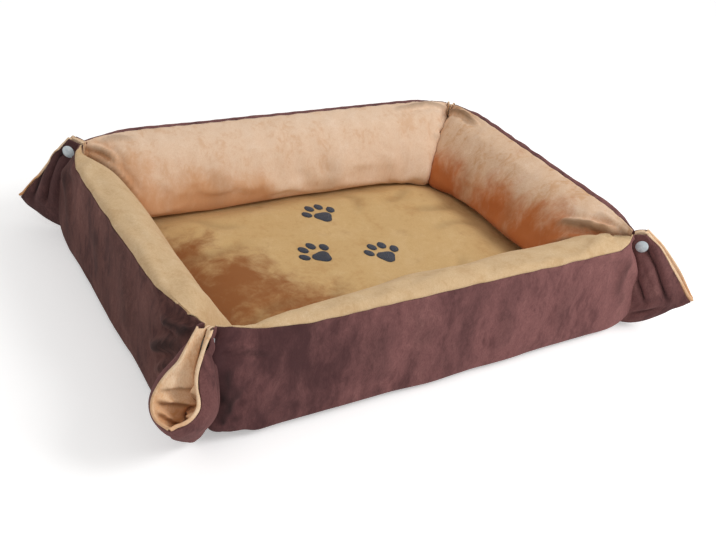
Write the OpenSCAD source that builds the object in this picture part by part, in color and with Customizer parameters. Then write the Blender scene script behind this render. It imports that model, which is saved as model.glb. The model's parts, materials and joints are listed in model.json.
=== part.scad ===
// Fold-out pet bed: a padded base, four stuffed walls that fold flat about sewn seams,
// and corner ears of plain double cloth that are held shut by press studs.
// The origin is on the floor under the middle of the bed. +X is right, +Y is back, +Z is up.

/* [Bed] */
// Length between the corner tips, left to right
bed_length = 512; // [440:1:620]
// Depth between the corner tips, front to back
bed_depth = 360; // [310:1:450]
// Height of the corner tips above the floor
corner_height = 120; // [105:1:145]
// Height of the fold seams above the floor
fold_height = 25; // [21:0.5:29]

/* [Cloth] */
// Thickness of one layer of plush
cloth = 2.2; // [1.6:0.1:2.8]
// Gap between layers that lie on each other
lay = 0.3; // [0.2:0.05:0.5]
// Radius of a sewn seam
seam_r = 0.9; // [0.7:0.1:1.1]

/* [Walls] */
// How far a wall bulges in over the base pad
wall_in = 56; // [46:1:58]
// Height of a wall's round top above its seam with the base
wall_rise = 98; // [88:1:110]
// How far the top seam stands out from the fold seam
rim_out = 19; // [12:1:23]
// How far below the wall's round top the top seam lies
rim_drop = 8; // [5:0.5:12]

/* [Base pad] */
// Height of the pad's crown above its edge
pad_crown = 14; // [8:1:16]
// Length over which the crown rises from the left and right edges
crown_run = 75; // [60:1:95]
// Length over which the crown rises from the front and back edges
crown_rise_run = 50; // [45:1:54]

/* [Ears] */
// How far the tips of the front right and back left ears reach out from the corner
ear_reach = 79; // [72:1:92]
// Height of these two tips above the floor
ear_tip = 50; // [38:1:60]
// How far the mouths of these two ears are spread, to each side
ear_spread = 9; // [6:1:12]
// How far the tips of the front left and back right ears reach out from the corner
mouth_reach = 68; // [58:1:72]
// Height of these two tips above the floor
mouth_tip = 60; // [48:1:68]
// How far the mouths of these two ears are spread, to each side
mouth_spread = 22; // [14:1:25]
// Depth of the folds that run down from each press stud
ear_fold = 5; // [3:0.5:7]

/* [Press studs] */
// Radius of a cap
cap_r = 7; // [5.5:0.25:8]
// Height of a cap's dome
cap_rise = 1.6; // [1.2:0.1:2.2]
// Radius of the pin that rivets a cap
pin_r = 1.1; // [0.9:0.05:1.3]
// Distance of a press stud below the corner tip
stud_drop = 12.5; // [11:0.5:15]
// Distance of a press stud from the corner
stud_out = 9; // [8.5:0.5:11]

/* [Paw prints] */
// Width of an embroidered paw print
paw_w = 46; // [34:1:54]
// Thickness of the embroidery
paw_t = 0.8; // [0.5:0.1:1.2]

/* [Hidden] */

BROWN = "#6b4244";
TAN = "#cba26f";
WHITE = "#e9e7e0";
NAVY = "#14233a";
PEARL = "#d5dde0";
$fn = 48;

half_l = bed_length / 2;
half_d = bed_depth / 2;

function mix(a, b, k) = a + (b - a) * k;
function clamp01(k) = max(0, min(1, k));
function rise01(k) = let (c = clamp01(k)) c * c * (3 - 2 * c);
function unit(v) = v / norm(v);
function left_of(v) = [-v[1], v[0]];

// A point of a path moved to the left of the path by d, mitred at its corners.
function edge_dir(path, j) = unit(path[j + 1] - path[j]);
function moved(path, j, d) =
    let (
        a = edge_dir(path, max(j - 1, 0)),
        b = edge_dir(path, min(j, len(path) - 2)),
        m = left_of(unit(a + b))
    )
    path[j] + m * d / max(m * left_of(a), 0.5);
function moved_path(path, d) = [for (j = [0:len(path) - 1]) moved(path, j, d)];
function back_to_front(list) = [for (i = [len(list) - 1:-1:0]) list[i]];
function without_ends(list) = [for (i = [1:len(list) - 2]) list[i]];

// A closed solid from rings with the same number of points. A ring is two paths, there and back.
// turned takes the other diagonal of each cell, for a solid that fits inside such a skin.
module skin_rings(rings, turned = false) {
    n = len(rings[0]);
    last = len(rings) - 1;
    sides = [
        for (i = [0:last - 1], j = [0:n - 1])
            let (a = i * n + j, b = i * n + (j + 1) % n)
            each turned ? [[a, b, a + n], [b, b + n, a + n]] : [[a, b, b + n], [a, b + n, a + n]]
    ];
    cap = [
        for (j = [0:n / 2 - 2])
            each [[j, n - 1 - j, j + 1], [j + 1, n - 1 - j, n - 2 - j]]
    ];
    far = [for (f = cap) [f[0], f[2], f[1]] + last * n * [1, 1, 1]];
    polyhedron([for (r = rings) each r], concat(sides, cap, far), convexity = 6);
}

// A closed solid between two grids of points with the same number of rows and columns.
module slab(top, under) {
    rows = len(top);
    cols = len(top[0]);
    m = rows * cols;
    up = [
        for (i = [0:rows - 2], j = [0:cols - 2])
            let (a = i * cols + j)
            each [[a, a + cols + 1, a + cols], [a, a + 1, a + cols + 1]]
    ];
    down = [for (f = up) [f[0], f[2], f[1]] + m * [1, 1, 1]];
    border = concat(
        [for (j = [0:cols - 2]) j],
        [for (i = [0:rows - 2]) i * cols + cols - 1],
        [for (j = [cols - 1:-1:1]) (rows - 1) * cols + j],
        [for (i = [rows - 1:-1:1]) i * cols]
    );
    k = len(border);
    edge = [
        for (i = [0:k - 1])
            let (a = border[i], b = border[(i + 1) % k])
            each [[b, a, a + m], [b, a + m, b + m]]
    ];
    polyhedron(
        concat([for (r = top) each r], [for (r = under) each r]),
        concat(up, down, edge),
        convexity = 6
    );
}

// Base pad. A place on it is given by its distance in from the fold seams.
bead_gap = 2;
pad_inset = fold_height + bead_gap;
crown_start = 38;
overrun = 5;
pad_edge = seam_r + lay;
lip_top = fold_height - lay / 2;
run_shares = [0, 0.25, 0.5, 0.75, 1];

function crown_at(x, y) =
    pad_crown * rise01((half_l - abs(x) - crown_start) / crown_run)
    * rise01((half_d - abs(y) - crown_start) / crown_rise_run);
function pad_top(x, y) = fold_height + lay / 2 + cloth + crown_at(x, y);
function half_lines(half, first, run, from) =
    [for (i = [0:len(run_shares) - 1]) if (i >= from) half - crown_start - run_shares[i] * run];
function lines(half, first, run, from) =
    let (h = concat([half - first], half_lines(half, first, run, from)))
    concat(-h, back_to_front(h));

module block(x, y, low, high) {
    translate([-x, -y, low]) cube([2 * x, 2 * y, high - low]);
}
module base_cover() {
    x = half_l - pad_inset;
    y = half_d - pad_inset;
    color(BROWN) difference() {
        union() {
            block(x, y, 0, lip_top);
            block(half_l - pad_edge, half_d - pad_edge, lip_top - cloth, lip_top);
        }
        block(x - cloth, y - cloth, cloth, lip_top + overrun);
    }
}
module base_lining() {
    xs = lines(half_l, pad_edge, crown_run, 0);
    ys = back_to_front(lines(half_d, pad_edge, crown_rise_run, 0));
    color(TAN) slab(
        [for (y = ys) [for (x = xs) [x, y, pad_top(x, y)]]],
        [for (y = ys) [for (x = xs) [x, y, pad_top(x, y) - cloth]]]
    );
}
module base_filling() {
    edge_in = pad_inset + cloth + lay;
    xs = lines(half_l, edge_in, crown_run, 1);
    ys = back_to_front(lines(half_d, edge_in, crown_rise_run, 1));
    color(WHITE) slab(
        [for (y = ys) [for (x = xs) [x, y, pad_top(x, y) - cloth - 3 * lay]]],
        [for (y = ys) [for (x = xs) [x, y, cloth + lay]]]
    );
}

// Walls. A wall's section is drawn from its fold seam: out from the bed, then up.
// The cover's path and the lining's path both run from the fold seam to the top seam.
end_inset = 5.6;
wall_cells = 10;
floor_clear = 0.4;
taper_share = 1.55;
taper_power = 1.7;
bead_low = 4;
mitre = cos(45);
layer = cloth + lay / 2;
bead_r = fold_height - floor_clear;
wall_h = corner_height - fold_height;
bead_angles = [-82, -64, -46, -28, -10];
end_shares = [0.06, 0.12, 0.2, 0.3, 0.42, 0.54, 0.66, 0.78, 0.88, 0.95, 1];

function seam_point(side) = [(pad_edge + side * lay / 2) * mitre, (pad_edge - side * lay / 2) * mitre];
outer_mid = concat(
    [seam_point(1), [1.2 * cloth, -0.43 * cloth]],
    [for (g = bead_angles) bead_r * [cos(g), sin(g)]],
    [
        [fold_height, 0.12 * wall_rise],
        [fold_height, 0.32 * wall_rise],
        [fold_height, 0.54 * wall_rise],
        [mix(fold_height, rim_out, 0.25), 0.72 * wall_rise],
        [mix(fold_height, rim_out, 0.6), 0.84 * wall_rise],
        [rim_out, wall_rise - rim_drop]
    ]
);
outer_end = [
    seam_point(1),
    [1.2 * cloth, -0.43 * cloth],
    [1.25 * cloth, -bead_low],
    [2.6 * cloth, -1.3 * bead_low],
    [4.2 * cloth, -1.1 * bead_low],
    [4.9 * cloth, -0.6 * bead_low],
    [5 * cloth, -0.05 * bead_low],
    [4.2 * cloth, 0.1 * wall_h],
    [2.4 * cloth, 0.22 * wall_h],
    [1.4 * cloth, 0.4 * wall_h],
    [layer, 0.6 * wall_h],
    [layer, 0.8 * wall_h],
    [layer, wall_h]
];
inner_mid = [
    seam_point(-1),
    [-0.43 * cloth, 1.2 * cloth],
    [-0.42 * wall_in, 1.45 * cloth],
    [-0.86 * wall_in, 1.45 * cloth + 0.2 * pad_crown],
    [-1.0 * wall_in, 0.14 * wall_rise],
    [-1.05 * wall_in, 0.27 * wall_rise],
    [-1.01 * wall_in, 0.43 * wall_rise],
    [-0.9 * wall_in, 0.6 * wall_rise],
    [-0.7 * wall_in, 0.78 * wall_rise],
    [-0.4 * wall_in, 0.93 * wall_rise],
    [-0.04 * wall_in, wall_rise],
    [rim_out - 3.6 * cloth, wall_rise - 0.15 * rim_drop],
    [rim_out - 1.6 * cloth, wall_rise - rim_drop + 1.5 * cloth]
];
inner_end = concat(
    [seam_point(-1), [-0.43 * cloth, 1.2 * cloth]],
    [for (s = end_shares) [-layer, s * wall_h]]
);

function fatness(x, half) =
    let (s = half - end_inset - abs(x))
    1 - pow(1 - clamp01(s / (taper_share * wall_in)), taper_power);
function outer_path(x, half) = mix(outer_end, outer_mid, fatness(x, half));
function inner_path(x, half) = mix(inner_end, inner_mid, fatness(x, half));
function stations(half) = [for (i = [0:wall_cells]) -cos(180 * i / wall_cells) * (half - end_inset)];
function placed(path, x, half_w) = [for (p = path) [x, -half_w - p[0], fold_height + p[1]]];
function there_and_back(there, back) = concat(there, back_to_front(back));

module wall_cover(half, half_w) {
    color(BROWN) skin_rings([
        for (x = stations(half))
            let (p = outer_path(x, half))
            placed(there_and_back(p, moved_path(p, cloth)), x, half_w)
    ]);
}
module wall_lining(half, half_w) {
    color(TAN) skin_rings([
        for (x = stations(half))
            let (p = inner_path(x, half))
            placed(there_and_back(moved_path(p, -cloth), p), x, half_w)
    ]);
}
module wall_filling(half, half_w) {
    d = cloth + 4 * lay;
    color(WHITE) skin_rings([
        for (x = without_ends(stations(half)))
            let (a = moved_path(outer_path(x, half), d), b = moved_path(inner_path(x, half), -d))
            placed(there_and_back(without_ends(a), without_ends(b)), x, half_w)
    ], true);
}
module wall_end_seams(half, half_w) {
    low = fold_height + 1.2 * cloth;
    for (side = [-1, 1])
        color(TAN)
            translate([side * (half - end_inset + seam_r + lay), -half_w, low])
                cylinder(r = seam_r, h = corner_height - low);
}
module fold_seam(half, half_w) {
    color(BROWN)
        translate([end_inset - half, -half_w, fold_height])
            rotate([0, 90, 0])
                cylinder(r = seam_r, h = 2 * (half - end_inset));
}
module side(turn) {
    rotate([0, 0, turn]) children();
}

// Ears. An ear is drawn in its own upright plane: out from the corner, then up. Its two halves lie
// on the two sides of that plane.
ear_inset = 1.9;
ear_root = 1;
ear_top_run = 12;
ear_lift = 5;
ear_low = 1;
ear_cells = 6;
flat_share = 1 / 3;
fold_count = 2;
snap_half = 2.3;
REACH = 0;
TIP = 1;
SPREAD = 2;
plain_ear = [ear_reach, ear_tip, ear_spread];
wide_ear = [mouth_reach, mouth_tip, mouth_spread];
function ear_bottom(ear) = [
    [ear_root, fold_height],
    [0.12 * ear[REACH], ear_low],
    [0.4 * ear[REACH], ear_low + 0.05 * ear[TIP]],
    [0.72 * ear[REACH], 0.62 * ear[TIP]],
    [ear[REACH], ear[TIP]]
];

// A curve that starts and ends on its control points and passes near the ones between.
function spans(ctrl) = len(ctrl) - 2;
function span_start(ctrl, i) = i == 0 ? ctrl[0] : (ctrl[i] + ctrl[i + 1]) / 2;
function span_end(ctrl, i) = i == spans(ctrl) - 1 ? ctrl[i + 2] : (ctrl[i + 1] + ctrl[i + 2]) / 2;
function on_curve(ctrl, k) =
    let (
        i = min(floor(k * spans(ctrl)), spans(ctrl) - 1),
        t = k * spans(ctrl) - i
    )
    mix(
        mix(span_start(ctrl, i), ctrl[i + 1], t),
        mix(ctrl[i + 1], span_end(ctrl, i), t),
        t
    );
function ear_top(a) = [mix(-ear_inset, ear_top_run, a), corner_height + ear_lift * a];
function ear_place(ear, a, r) = mix(ear_top(a), on_curve(ear_bottom(ear), a), r);
function ear_hump(r) = sin(180 * clamp01((r - flat_share) / (1 - flat_share)));
function ear_width(ear, a, r) =
    snap_half + ear_hump(r) * (ear[SPREAD] * pow(a, 0.8) + ear_fold * (1 - cos(360 * fold_count * a)) / 2);
function ear_grid(ear, off) = [
    for (i = [0:ear_cells]) [
        for (j = [0:ear_cells])
            let (a = j / ear_cells, r = i / ear_cells, p = ear_place(ear, a, r))
            [p[0], -ear_width(ear, a, r) - off, p[1]]
    ]
];
pin_clear = 0.2;
module at_stud() {
    translate([stud_out, 0, corner_height - stud_drop]) rotate([90, 0, 0]) children();
}
module pin_hole() {
    at_stud() cylinder(r = pin_r + pin_clear, h = snap_half + 2 * cloth + lay + overrun);
}
module ear_lining(ear) {
    color(TAN) difference() {
        slab(ear_grid(ear, cloth), ear_grid(ear, 0));
        pin_hole();
    }
}
module ear_cover(ear) {
    color(BROWN) difference() {
        slab(ear_grid(ear, 2 * cloth + lay), ear_grid(ear, cloth + lay));
        pin_hole();
    }
}

// Press studs, drawn with the stud's axis up and the ear's own plane at height 0.
fit_gap = 0.15;
disc_t = 1.1;
disc_r = 0.78 * cap_r;
bulb_r = 2.2;
neck_r = 1.8;
bulb_top = 0.9;
bulb_skin = 0.45;
lip_r = 2;
lip_t = 0.6;
plate_t = 0.6;
cap_seat = 0.1;
head_r = 1.6;
head_t = 0.4;
cap_edge = 0.5;
cap_low = snap_half + 2 * cloth + lay + cap_seat;
cap_ball = (cap_r * cap_r + cap_rise * cap_rise) / (2 * cap_rise);
cap_sweep = asin(cap_r / cap_ball);
dome_steps = 8;

function dome(g) = [cap_ball * sin(g), cap_low + cap_edge + cap_rise - cap_ball * (1 - cos(g))];
function riveted(end) = [[0, end], [head_r, end], [head_r, end + head_t], [pin_r, end + head_t]];
function plain(end) = [[0, end], [pin_r, end]];

// A cap with its pin. The pin's foot is given as a path from the axis.
module cap(foot) {
    color(PEARL) rotate_extrude()
        polygon(concat(
            foot,
            [[pin_r, cap_low], [cap_r, cap_low]],
            [for (i = [0:dome_steps]) dome(cap_sweep * (1 - i / dome_steps))]
        ));
}
module snap_cap() {
    cap(riveted(snap_half - plate_t - fit_gap - head_t));
}
module snap_back_cap() {
    cap(plain(fit_gap + bulb_skin - bulb_top));
}
module snap_stud() {
    color(PEARL) rotate_extrude()
        polygon([
            [0, -bulb_top], [neck_r, -bulb_top], [bulb_r, -0.6 * bulb_top], [bulb_r, -2 * fit_gap],
            [neck_r, 2 * fit_gap], [neck_r, snap_half - disc_t], [disc_r, snap_half - disc_t],
            [disc_r, snap_half], [pin_r + fit_gap, snap_half], [pin_r + fit_gap, bulb_skin - bulb_top],
            [0, bulb_skin - bulb_top]
        ]);
}
// The socket's ring has a lip that springs over the stud's bulb.
module snap_socket() {
    low = fit_gap - snap_half + disc_t;
    color(PEARL) rotate_extrude()
        polygon([
            [pin_r + fit_gap, snap_half], [disc_r, snap_half], [disc_r, low + lip_t],
            [disc_r - lip_t, low], [lip_r, low], [lip_r, low + lip_t],
            [bulb_r + fit_gap, low + lip_t + fit_gap], [bulb_r + fit_gap, snap_half - plate_t],
            [pin_r + fit_gap, snap_half - plate_t]
        ]);
}

// Puts a piece of an ear on the corner that the turn points at; far is for the ear's other half.
FRONT_LEFT = 225;
FRONT_RIGHT = 315;
BACK_RIGHT = 45;
BACK_LEFT = 135;
module near(turn) {
    translate([sign(cos(turn)) * half_l, sign(sin(turn)) * half_d, 0])
        rotate([0, 0, turn]) children();
}
module far(turn) {
    near(turn) mirror([0, 1, 0]) children();
}

// Embroidered paw print: four toes and a heel, laid on the level part of the pad.
// Shares are of the print's width. A toe has its place across and along, and its angle.
toe_shares = [[-0.37, 0.12], [-0.145, 0.36], [0.145, 0.36], [0.37, 0.12]];
toe_angles = [24, 8, -8, -24];
toe_size_shares = [0.11, 0.145];
heel_share = 0.225;
heel_lobe_share = 0.03;
heel_wide_share = 1.02;
heel_low_share = 0.13;

module toe(i) {
    translate([toe_shares[i][0] * paw_w, toe_shares[i][1] * paw_w, 0])
        rotate([0, 0, toe_angles[i]])
            linear_extrude(paw_t)
                polygon([
                    for (g = [0:15:345])
                        paw_w * [toe_size_shares[0] * cos(g), toe_size_shares[1] * sin(g)]
                ]);
}
function heel_r(g) = paw_w * (heel_share + heel_lobe_share * cos(3 * (g + 90)));
module paw_print(centre, angle) {
    color(NAVY)
        translate([centre[0], centre[1], pad_top(0, 0) + lay])
            rotate([0, 0, angle]) {
                translate([0, -heel_low_share * paw_w, 0])
                    linear_extrude(paw_t)
                        polygon([
                            for (g = [0:15:345]) heel_r(g) * [heel_wide_share * cos(g), sin(g)]
                        ]);
                for (i = [0:len(toe_shares) - 1])
                    toe(i);
            }
}
left_print = [-0.172 * half_l, -0.028 * half_d];
right_print = [0.117 * half_l, -0.156 * half_d];
back_print = [0.008 * half_l, 0.4 * half_d];
left_angle = 22;
right_angle = 0;
back_angle = 5;

base_cover();
base_lining();
base_filling();
side(0) fold_seam(half_l, half_d);  // front_fold_seam
side(180) fold_seam(half_l, half_d);  // back_fold_seam
side(-90) fold_seam(half_d, half_l);  // left_fold_seam
side(90) fold_seam(half_d, half_l);  // right_fold_seam
paw_print(left_print, left_angle);  // left_paw_print
paw_print(right_print, right_angle);  // right_paw_print
paw_print(back_print, back_angle);  // back_paw_print
side(0) wall_cover(half_l, half_d);  // front_wall_cover
side(0) wall_lining(half_l, half_d);  // front_wall_lining
side(0) wall_filling(half_l, half_d);  // front_wall_filling
side(0) wall_end_seams(half_l, half_d);  // front_wall_end_seams
side(180) wall_cover(half_l, half_d);  // back_wall_cover
side(180) wall_lining(half_l, half_d);  // back_wall_lining
side(180) wall_filling(half_l, half_d);  // back_wall_filling
side(180) wall_end_seams(half_l, half_d);  // back_wall_end_seams
side(-90) wall_cover(half_d, half_l);  // left_wall_cover
side(-90) wall_lining(half_d, half_l);  // left_wall_lining
side(-90) wall_filling(half_d, half_l);  // left_wall_filling
side(-90) wall_end_seams(half_d, half_l);  // left_wall_end_seams
side(90) wall_cover(half_d, half_l);  // right_wall_cover
side(90) wall_lining(half_d, half_l);  // right_wall_lining
side(90) wall_filling(half_d, half_l);  // right_wall_filling
side(90) wall_end_seams(half_d, half_l);  // right_wall_end_seams
far(FRONT_LEFT) ear_cover(wide_ear);  // front_wall_left_ear_cover
far(FRONT_LEFT) ear_lining(wide_ear);  // front_wall_left_ear_lining
near(FRONT_RIGHT) ear_cover(plain_ear);  // front_wall_right_ear_cover
near(FRONT_RIGHT) ear_lining(plain_ear);  // front_wall_right_ear_lining
near(BACK_LEFT) ear_cover(plain_ear);  // back_wall_left_ear_cover
near(BACK_LEFT) ear_lining(plain_ear);  // back_wall_left_ear_lining
far(BACK_RIGHT) ear_cover(wide_ear);  // back_wall_right_ear_cover
far(BACK_RIGHT) ear_lining(wide_ear);  // back_wall_right_ear_lining
near(FRONT_LEFT) ear_cover(wide_ear);  // left_wall_front_ear_cover
near(FRONT_LEFT) ear_lining(wide_ear);  // left_wall_front_ear_lining
far(BACK_LEFT) ear_cover(plain_ear);  // left_wall_back_ear_cover
far(BACK_LEFT) ear_lining(plain_ear);  // left_wall_back_ear_lining
far(FRONT_RIGHT) ear_cover(plain_ear);  // right_wall_front_ear_cover
far(FRONT_RIGHT) ear_lining(plain_ear);  // right_wall_front_ear_lining
near(BACK_RIGHT) ear_cover(wide_ear);  // right_wall_back_ear_cover
near(BACK_RIGHT) ear_lining(wide_ear);  // right_wall_back_ear_lining
near(FRONT_LEFT) at_stud() snap_cap();  // front_left_snap_cap
far(FRONT_LEFT) at_stud() snap_stud();  // front_left_snap_stud
near(FRONT_LEFT) at_stud() snap_socket();  // front_left_snap_socket
far(FRONT_LEFT) at_stud() snap_back_cap();  // front_left_snap_back_cap
near(FRONT_RIGHT) at_stud() snap_cap();  // front_right_snap_cap
far(FRONT_RIGHT) at_stud() snap_stud();  // front_right_snap_stud
near(FRONT_RIGHT) at_stud() snap_socket();  // front_right_snap_socket
far(FRONT_RIGHT) at_stud() snap_back_cap();  // front_right_snap_back_cap
near(BACK_LEFT) at_stud() snap_cap();  // back_left_snap_cap
far(BACK_LEFT) at_stud() snap_stud();  // back_left_snap_stud
near(BACK_LEFT) at_stud() snap_socket();  // back_left_snap_socket
far(BACK_LEFT) at_stud() snap_back_cap();  // back_left_snap_back_cap
near(BACK_RIGHT) at_stud() snap_cap();  // back_right_snap_cap
far(BACK_RIGHT) at_stud() snap_stud();  // back_right_snap_stud
near(BACK_RIGHT) at_stud() snap_socket();  // back_right_snap_socket
far(BACK_RIGHT) at_stud() snap_back_cap();  // back_right_snap_back_cap
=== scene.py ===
"""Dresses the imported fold-out cat bed: plush cushions, corner ears, press studs and stitching.

Lengths are in millimetres in the classes below and in metres in every Blender mesh.
+X is right, +Y is back, +Z is up, and the origin is on the floor under the middle of the bed.
"""
import json
import logging
import math
from dataclasses import dataclass
from enum import Enum
from typing import ClassVar, Iterable, Optional, Sequence

import bmesh
import bpy
import numpy as np
from mathutils import Matrix, Vector
from mathutils.bvhtree import BVHTree

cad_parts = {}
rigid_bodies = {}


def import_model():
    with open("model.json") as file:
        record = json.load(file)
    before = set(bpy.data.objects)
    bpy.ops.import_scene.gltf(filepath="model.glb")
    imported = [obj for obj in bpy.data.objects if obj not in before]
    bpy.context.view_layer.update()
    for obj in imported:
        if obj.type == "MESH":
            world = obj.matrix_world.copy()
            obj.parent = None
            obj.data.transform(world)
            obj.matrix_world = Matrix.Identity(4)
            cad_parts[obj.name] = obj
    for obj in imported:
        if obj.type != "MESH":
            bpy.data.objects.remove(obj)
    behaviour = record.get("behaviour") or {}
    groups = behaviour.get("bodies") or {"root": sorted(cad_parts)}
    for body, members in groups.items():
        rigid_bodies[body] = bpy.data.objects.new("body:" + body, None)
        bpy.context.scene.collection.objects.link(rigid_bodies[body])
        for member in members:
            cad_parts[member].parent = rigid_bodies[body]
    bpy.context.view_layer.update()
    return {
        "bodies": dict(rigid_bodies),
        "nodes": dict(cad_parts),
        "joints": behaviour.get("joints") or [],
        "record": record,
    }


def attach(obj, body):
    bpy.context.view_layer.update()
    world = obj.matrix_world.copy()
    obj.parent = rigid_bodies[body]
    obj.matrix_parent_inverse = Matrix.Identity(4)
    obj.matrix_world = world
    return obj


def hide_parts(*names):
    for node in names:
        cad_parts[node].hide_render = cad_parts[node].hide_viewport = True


LOG = logging.getLogger("cat_bed")
MM = 0.001
Array = np.ndarray
Socket = bpy.types.NodeSocket


# Small geometry helpers


def mix(a: Array, b: Array, k: Array) -> Array:
    """The blend of a and b, a at k = 0 and b at k = 1."""
    return a + (b - a) * k


def ramp(value: Array, low: float, high: float) -> Array:
    """A smooth rise from 0 at low to 1 at high."""
    t = np.clip((value - low) / (high - low), 0.0, 1.0)
    return t * t * (3.0 - 2.0 * t)


def bump(value: Array, centre: float, width: float) -> Array:
    """A bell of height 1 about centre."""
    return np.exp(-(((value - centre) / width) ** 2))


def spline(points: Sequence[Sequence[float]], count: int) -> Array:
    """A smooth curve through control points.

    Args:
        points: The points that the curve passes through.
        count: How many points to return, evenly spaced along the curve.

    Returns:
        An array of count points.
    """
    base = np.asarray(points, float)
    p = np.vstack([2 * base[0] - base[1], base, 2 * base[-1] - base[-2]])
    t = np.linspace(0, 1, 14, endpoint=False)[:, None]
    runs = []
    for a, b, c, d in zip(p[:-3], p[1:-2], p[2:-1], p[3:]):
        bend, twist = 2 * a - 5 * b + 4 * c - d, 3 * b - a - 3 * c + d
        runs.append(0.5 * (2 * b + (c - a) * t + bend * t**2 + twist * t**3))
    curve = np.vstack(runs + [base[-1:]])
    run = np.r_[0.0, np.cumsum(np.linalg.norm(np.diff(curve, axis=0), axis=1))]
    at = np.linspace(0, run[-1], count)
    return np.stack([np.interp(at, run, curve[:, k]) for k in range(curve.shape[1])], -1)


def soft_noise(points: Array, size: float, seed: int) -> Array:
    """Smooth noise in space, about -1 to 1, from a few fixed waves.

    Args:
        points: Places, in mm.
        size: The typical width of a hill, in mm.
        seed: Picks the pattern.

    Returns:
        One number for each place.
    """
    rng = np.random.default_rng(seed)
    total = np.zeros(len(points))
    for _ in range(9):
        way = rng.normal(size=3)
        way *= rng.uniform(0.6, 1.5) * math.pi / (size * np.linalg.norm(way))
        total += np.sin(points @ way + rng.uniform(0, 2 * math.pi))
    return total / 3.6


def unit(vectors: Array) -> Array:
    """Vectors made one long."""
    return vectors / np.maximum(np.linalg.norm(vectors, axis=-1, keepdims=True), 1e-6)


def grid_faces(rows: int, cols: int) -> list[tuple[int, ...]]:
    """The quads of a grid of points in row order.

    Args:
        rows: Number of rows of points.
        cols: Number of points in a row.

    Returns:
        The faces as indices of the points.
    """
    at = np.arange(rows * cols).reshape(rows, cols)
    quads = np.stack([at[:-1, :-1], at[:-1, 1:], at[1:, 1:], at[1:, :-1]], -1).reshape(-1, 4)
    return [tuple(q) for q in quads.tolist()]


def make_object(name: str, points: Array, faces: Iterable[Sequence[int]]) -> bpy.types.Object:
    """A smooth mesh object whose place is in its mesh.

    Args:
        name: The piece's name.
        points: Vertices in the row frame, in mm.
        faces: Faces as indices of the vertices.

    Returns:
        The new object, linked to the scene.
    """
    mesh = bpy.data.meshes.new(name)
    mesh.from_pydata((np.asarray(points, float) * MM).tolist(), [], [list(f) for f in faces])
    mesh.validate()
    return linked(bpy.data.objects.new(name, smooth(mesh)))


def smooth(mesh: bpy.types.Mesh) -> bpy.types.Mesh:
    """Shades every face of a mesh smooth."""
    mesh.polygons.foreach_set("use_smooth", [True] * len(mesh.polygons))
    return mesh


def linked(obj: bpy.types.Object) -> bpy.types.Object:
    """Links a new object to the scene."""
    bpy.context.scene.collection.objects.link(obj)
    return obj


def values_of(items: bpy.types.bpy_prop_collection, name: str, width: int = 3) -> Array:
    """One property of a mesh's items, as rows of numbers.

    Args:
        items: The mesh's vertices, or an attribute's data.
        name: The property.
        width: How many numbers an item has.

    Returns:
        One row for each item.
    """
    rows = np.empty(len(items) * width, np.float32)
    items.foreach_get(name, rows)
    return rows.reshape(-1, width).astype(float)


def vertices_of(obj: bpy.types.Object) -> Array:
    """The object's vertices, in mm."""
    return values_of(obj.data.vertices, "co") / MM


def set_vertices(obj: bpy.types.Object, points: Array) -> None:
    """Puts the object's vertices at points, in mm."""
    obj.data.vertices.foreach_set("co", (np.asarray(points) * MM).astype(np.float32).ravel())
    obj.data.update()


def normals_of(obj: bpy.types.Object) -> Array:
    """The object's vertex normals."""
    return values_of(obj.data.vertices, "normal")


def surface_of(obj: bpy.types.Object) -> BVHTree:
    """The object's faces as a tree that finds places on them, in mm."""
    return BVHTree.FromPolygons(vertices_of(obj).tolist(), [list(p.vertices) for p in obj.data.polygons])


def settle(obj: bpy.types.Object) -> None:
    """Applies the object's modifiers, leaving a plain mesh.

    Args:
        obj: The object.
    """
    graph = bpy.context.evaluated_depsgraph_get()
    mesh = bpy.data.meshes.new_from_object(obj.evaluated_get(graph), depsgraph=graph)
    old = obj.data
    obj.modifiers.clear()
    obj.data = mesh
    mesh.name = old.name
    bpy.data.meshes.remove(old)


def refine(obj: bpy.types.Object) -> None:
    """Subdivides the object once, smoothly, and applies the result.

    Args:
        obj: The object.
    """
    mod = obj.modifiers.new("Refine", "SUBSURF")
    mod.levels = mod.render_levels = 1
    mod.boundary_smooth = "PRESERVE_CORNERS"
    settle(obj)


def face_outwards(obj: bpy.types.Object) -> None:
    """Turns every face of a closed piece outwards.

    Args:
        obj: The piece.
    """
    bm = bmesh.new()
    bm.from_mesh(obj.data)
    bmesh.ops.recalc_face_normals(bm, faces=bm.faces)
    bm.to_mesh(obj.data)
    bm.free()
    obj.data.update()


def clothe(obj: bpy.types.Object, thickness: float, finish: "Plush") -> None:
    """Gives an open cloth its thickness, behind its faces, and its finish.

    Args:
        obj: The cloth.
        thickness: Its thickness, in mm.
        finish: Its finish.
    """
    mod = obj.modifiers.new("Cloth thickness", "SOLIDIFY")
    mod.thickness = thickness * MM
    mod.offset = -1.0
    mod.use_even_offset = False
    settle(obj)
    obj.data.materials.clear()
    obj.data.materials.append(finish.material())


def cushion_form(name: str, front: Array, back: Array) -> tuple[bpy.types.Object, Array]:
    """A closed form from two grids of points with one border.

    Args:
        name: The form's name.
        front: Rows and columns of points, whose faces get material index 0.
        back: The same of the other side, whose faces get material index 1.

    Returns:
        The form, and for each point of a grid whether it is on the border.
    """
    rows, cols = front.shape[:2]
    border = np.ones((rows, cols), bool)
    border[1:-1, 1:-1] = False
    border = border.ravel()
    index = np.where(border, np.arange(rows * cols), 0)
    index[~border] = rows * cols + np.arange((~border).sum())
    faces = grid_faces(rows, cols)
    under = [tuple(int(index[i]) for i in reversed(f)) for f in faces]
    form = make_object(name, np.vstack([front.reshape(-1, 3), back.reshape(-1, 3)[~border]]), faces + under)
    form.data.polygons.foreach_set("material_index", [0] * len(faces) + [1] * len(under))
    for _ in range(2):
        form.data.materials.append(None)
    return form, border


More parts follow.
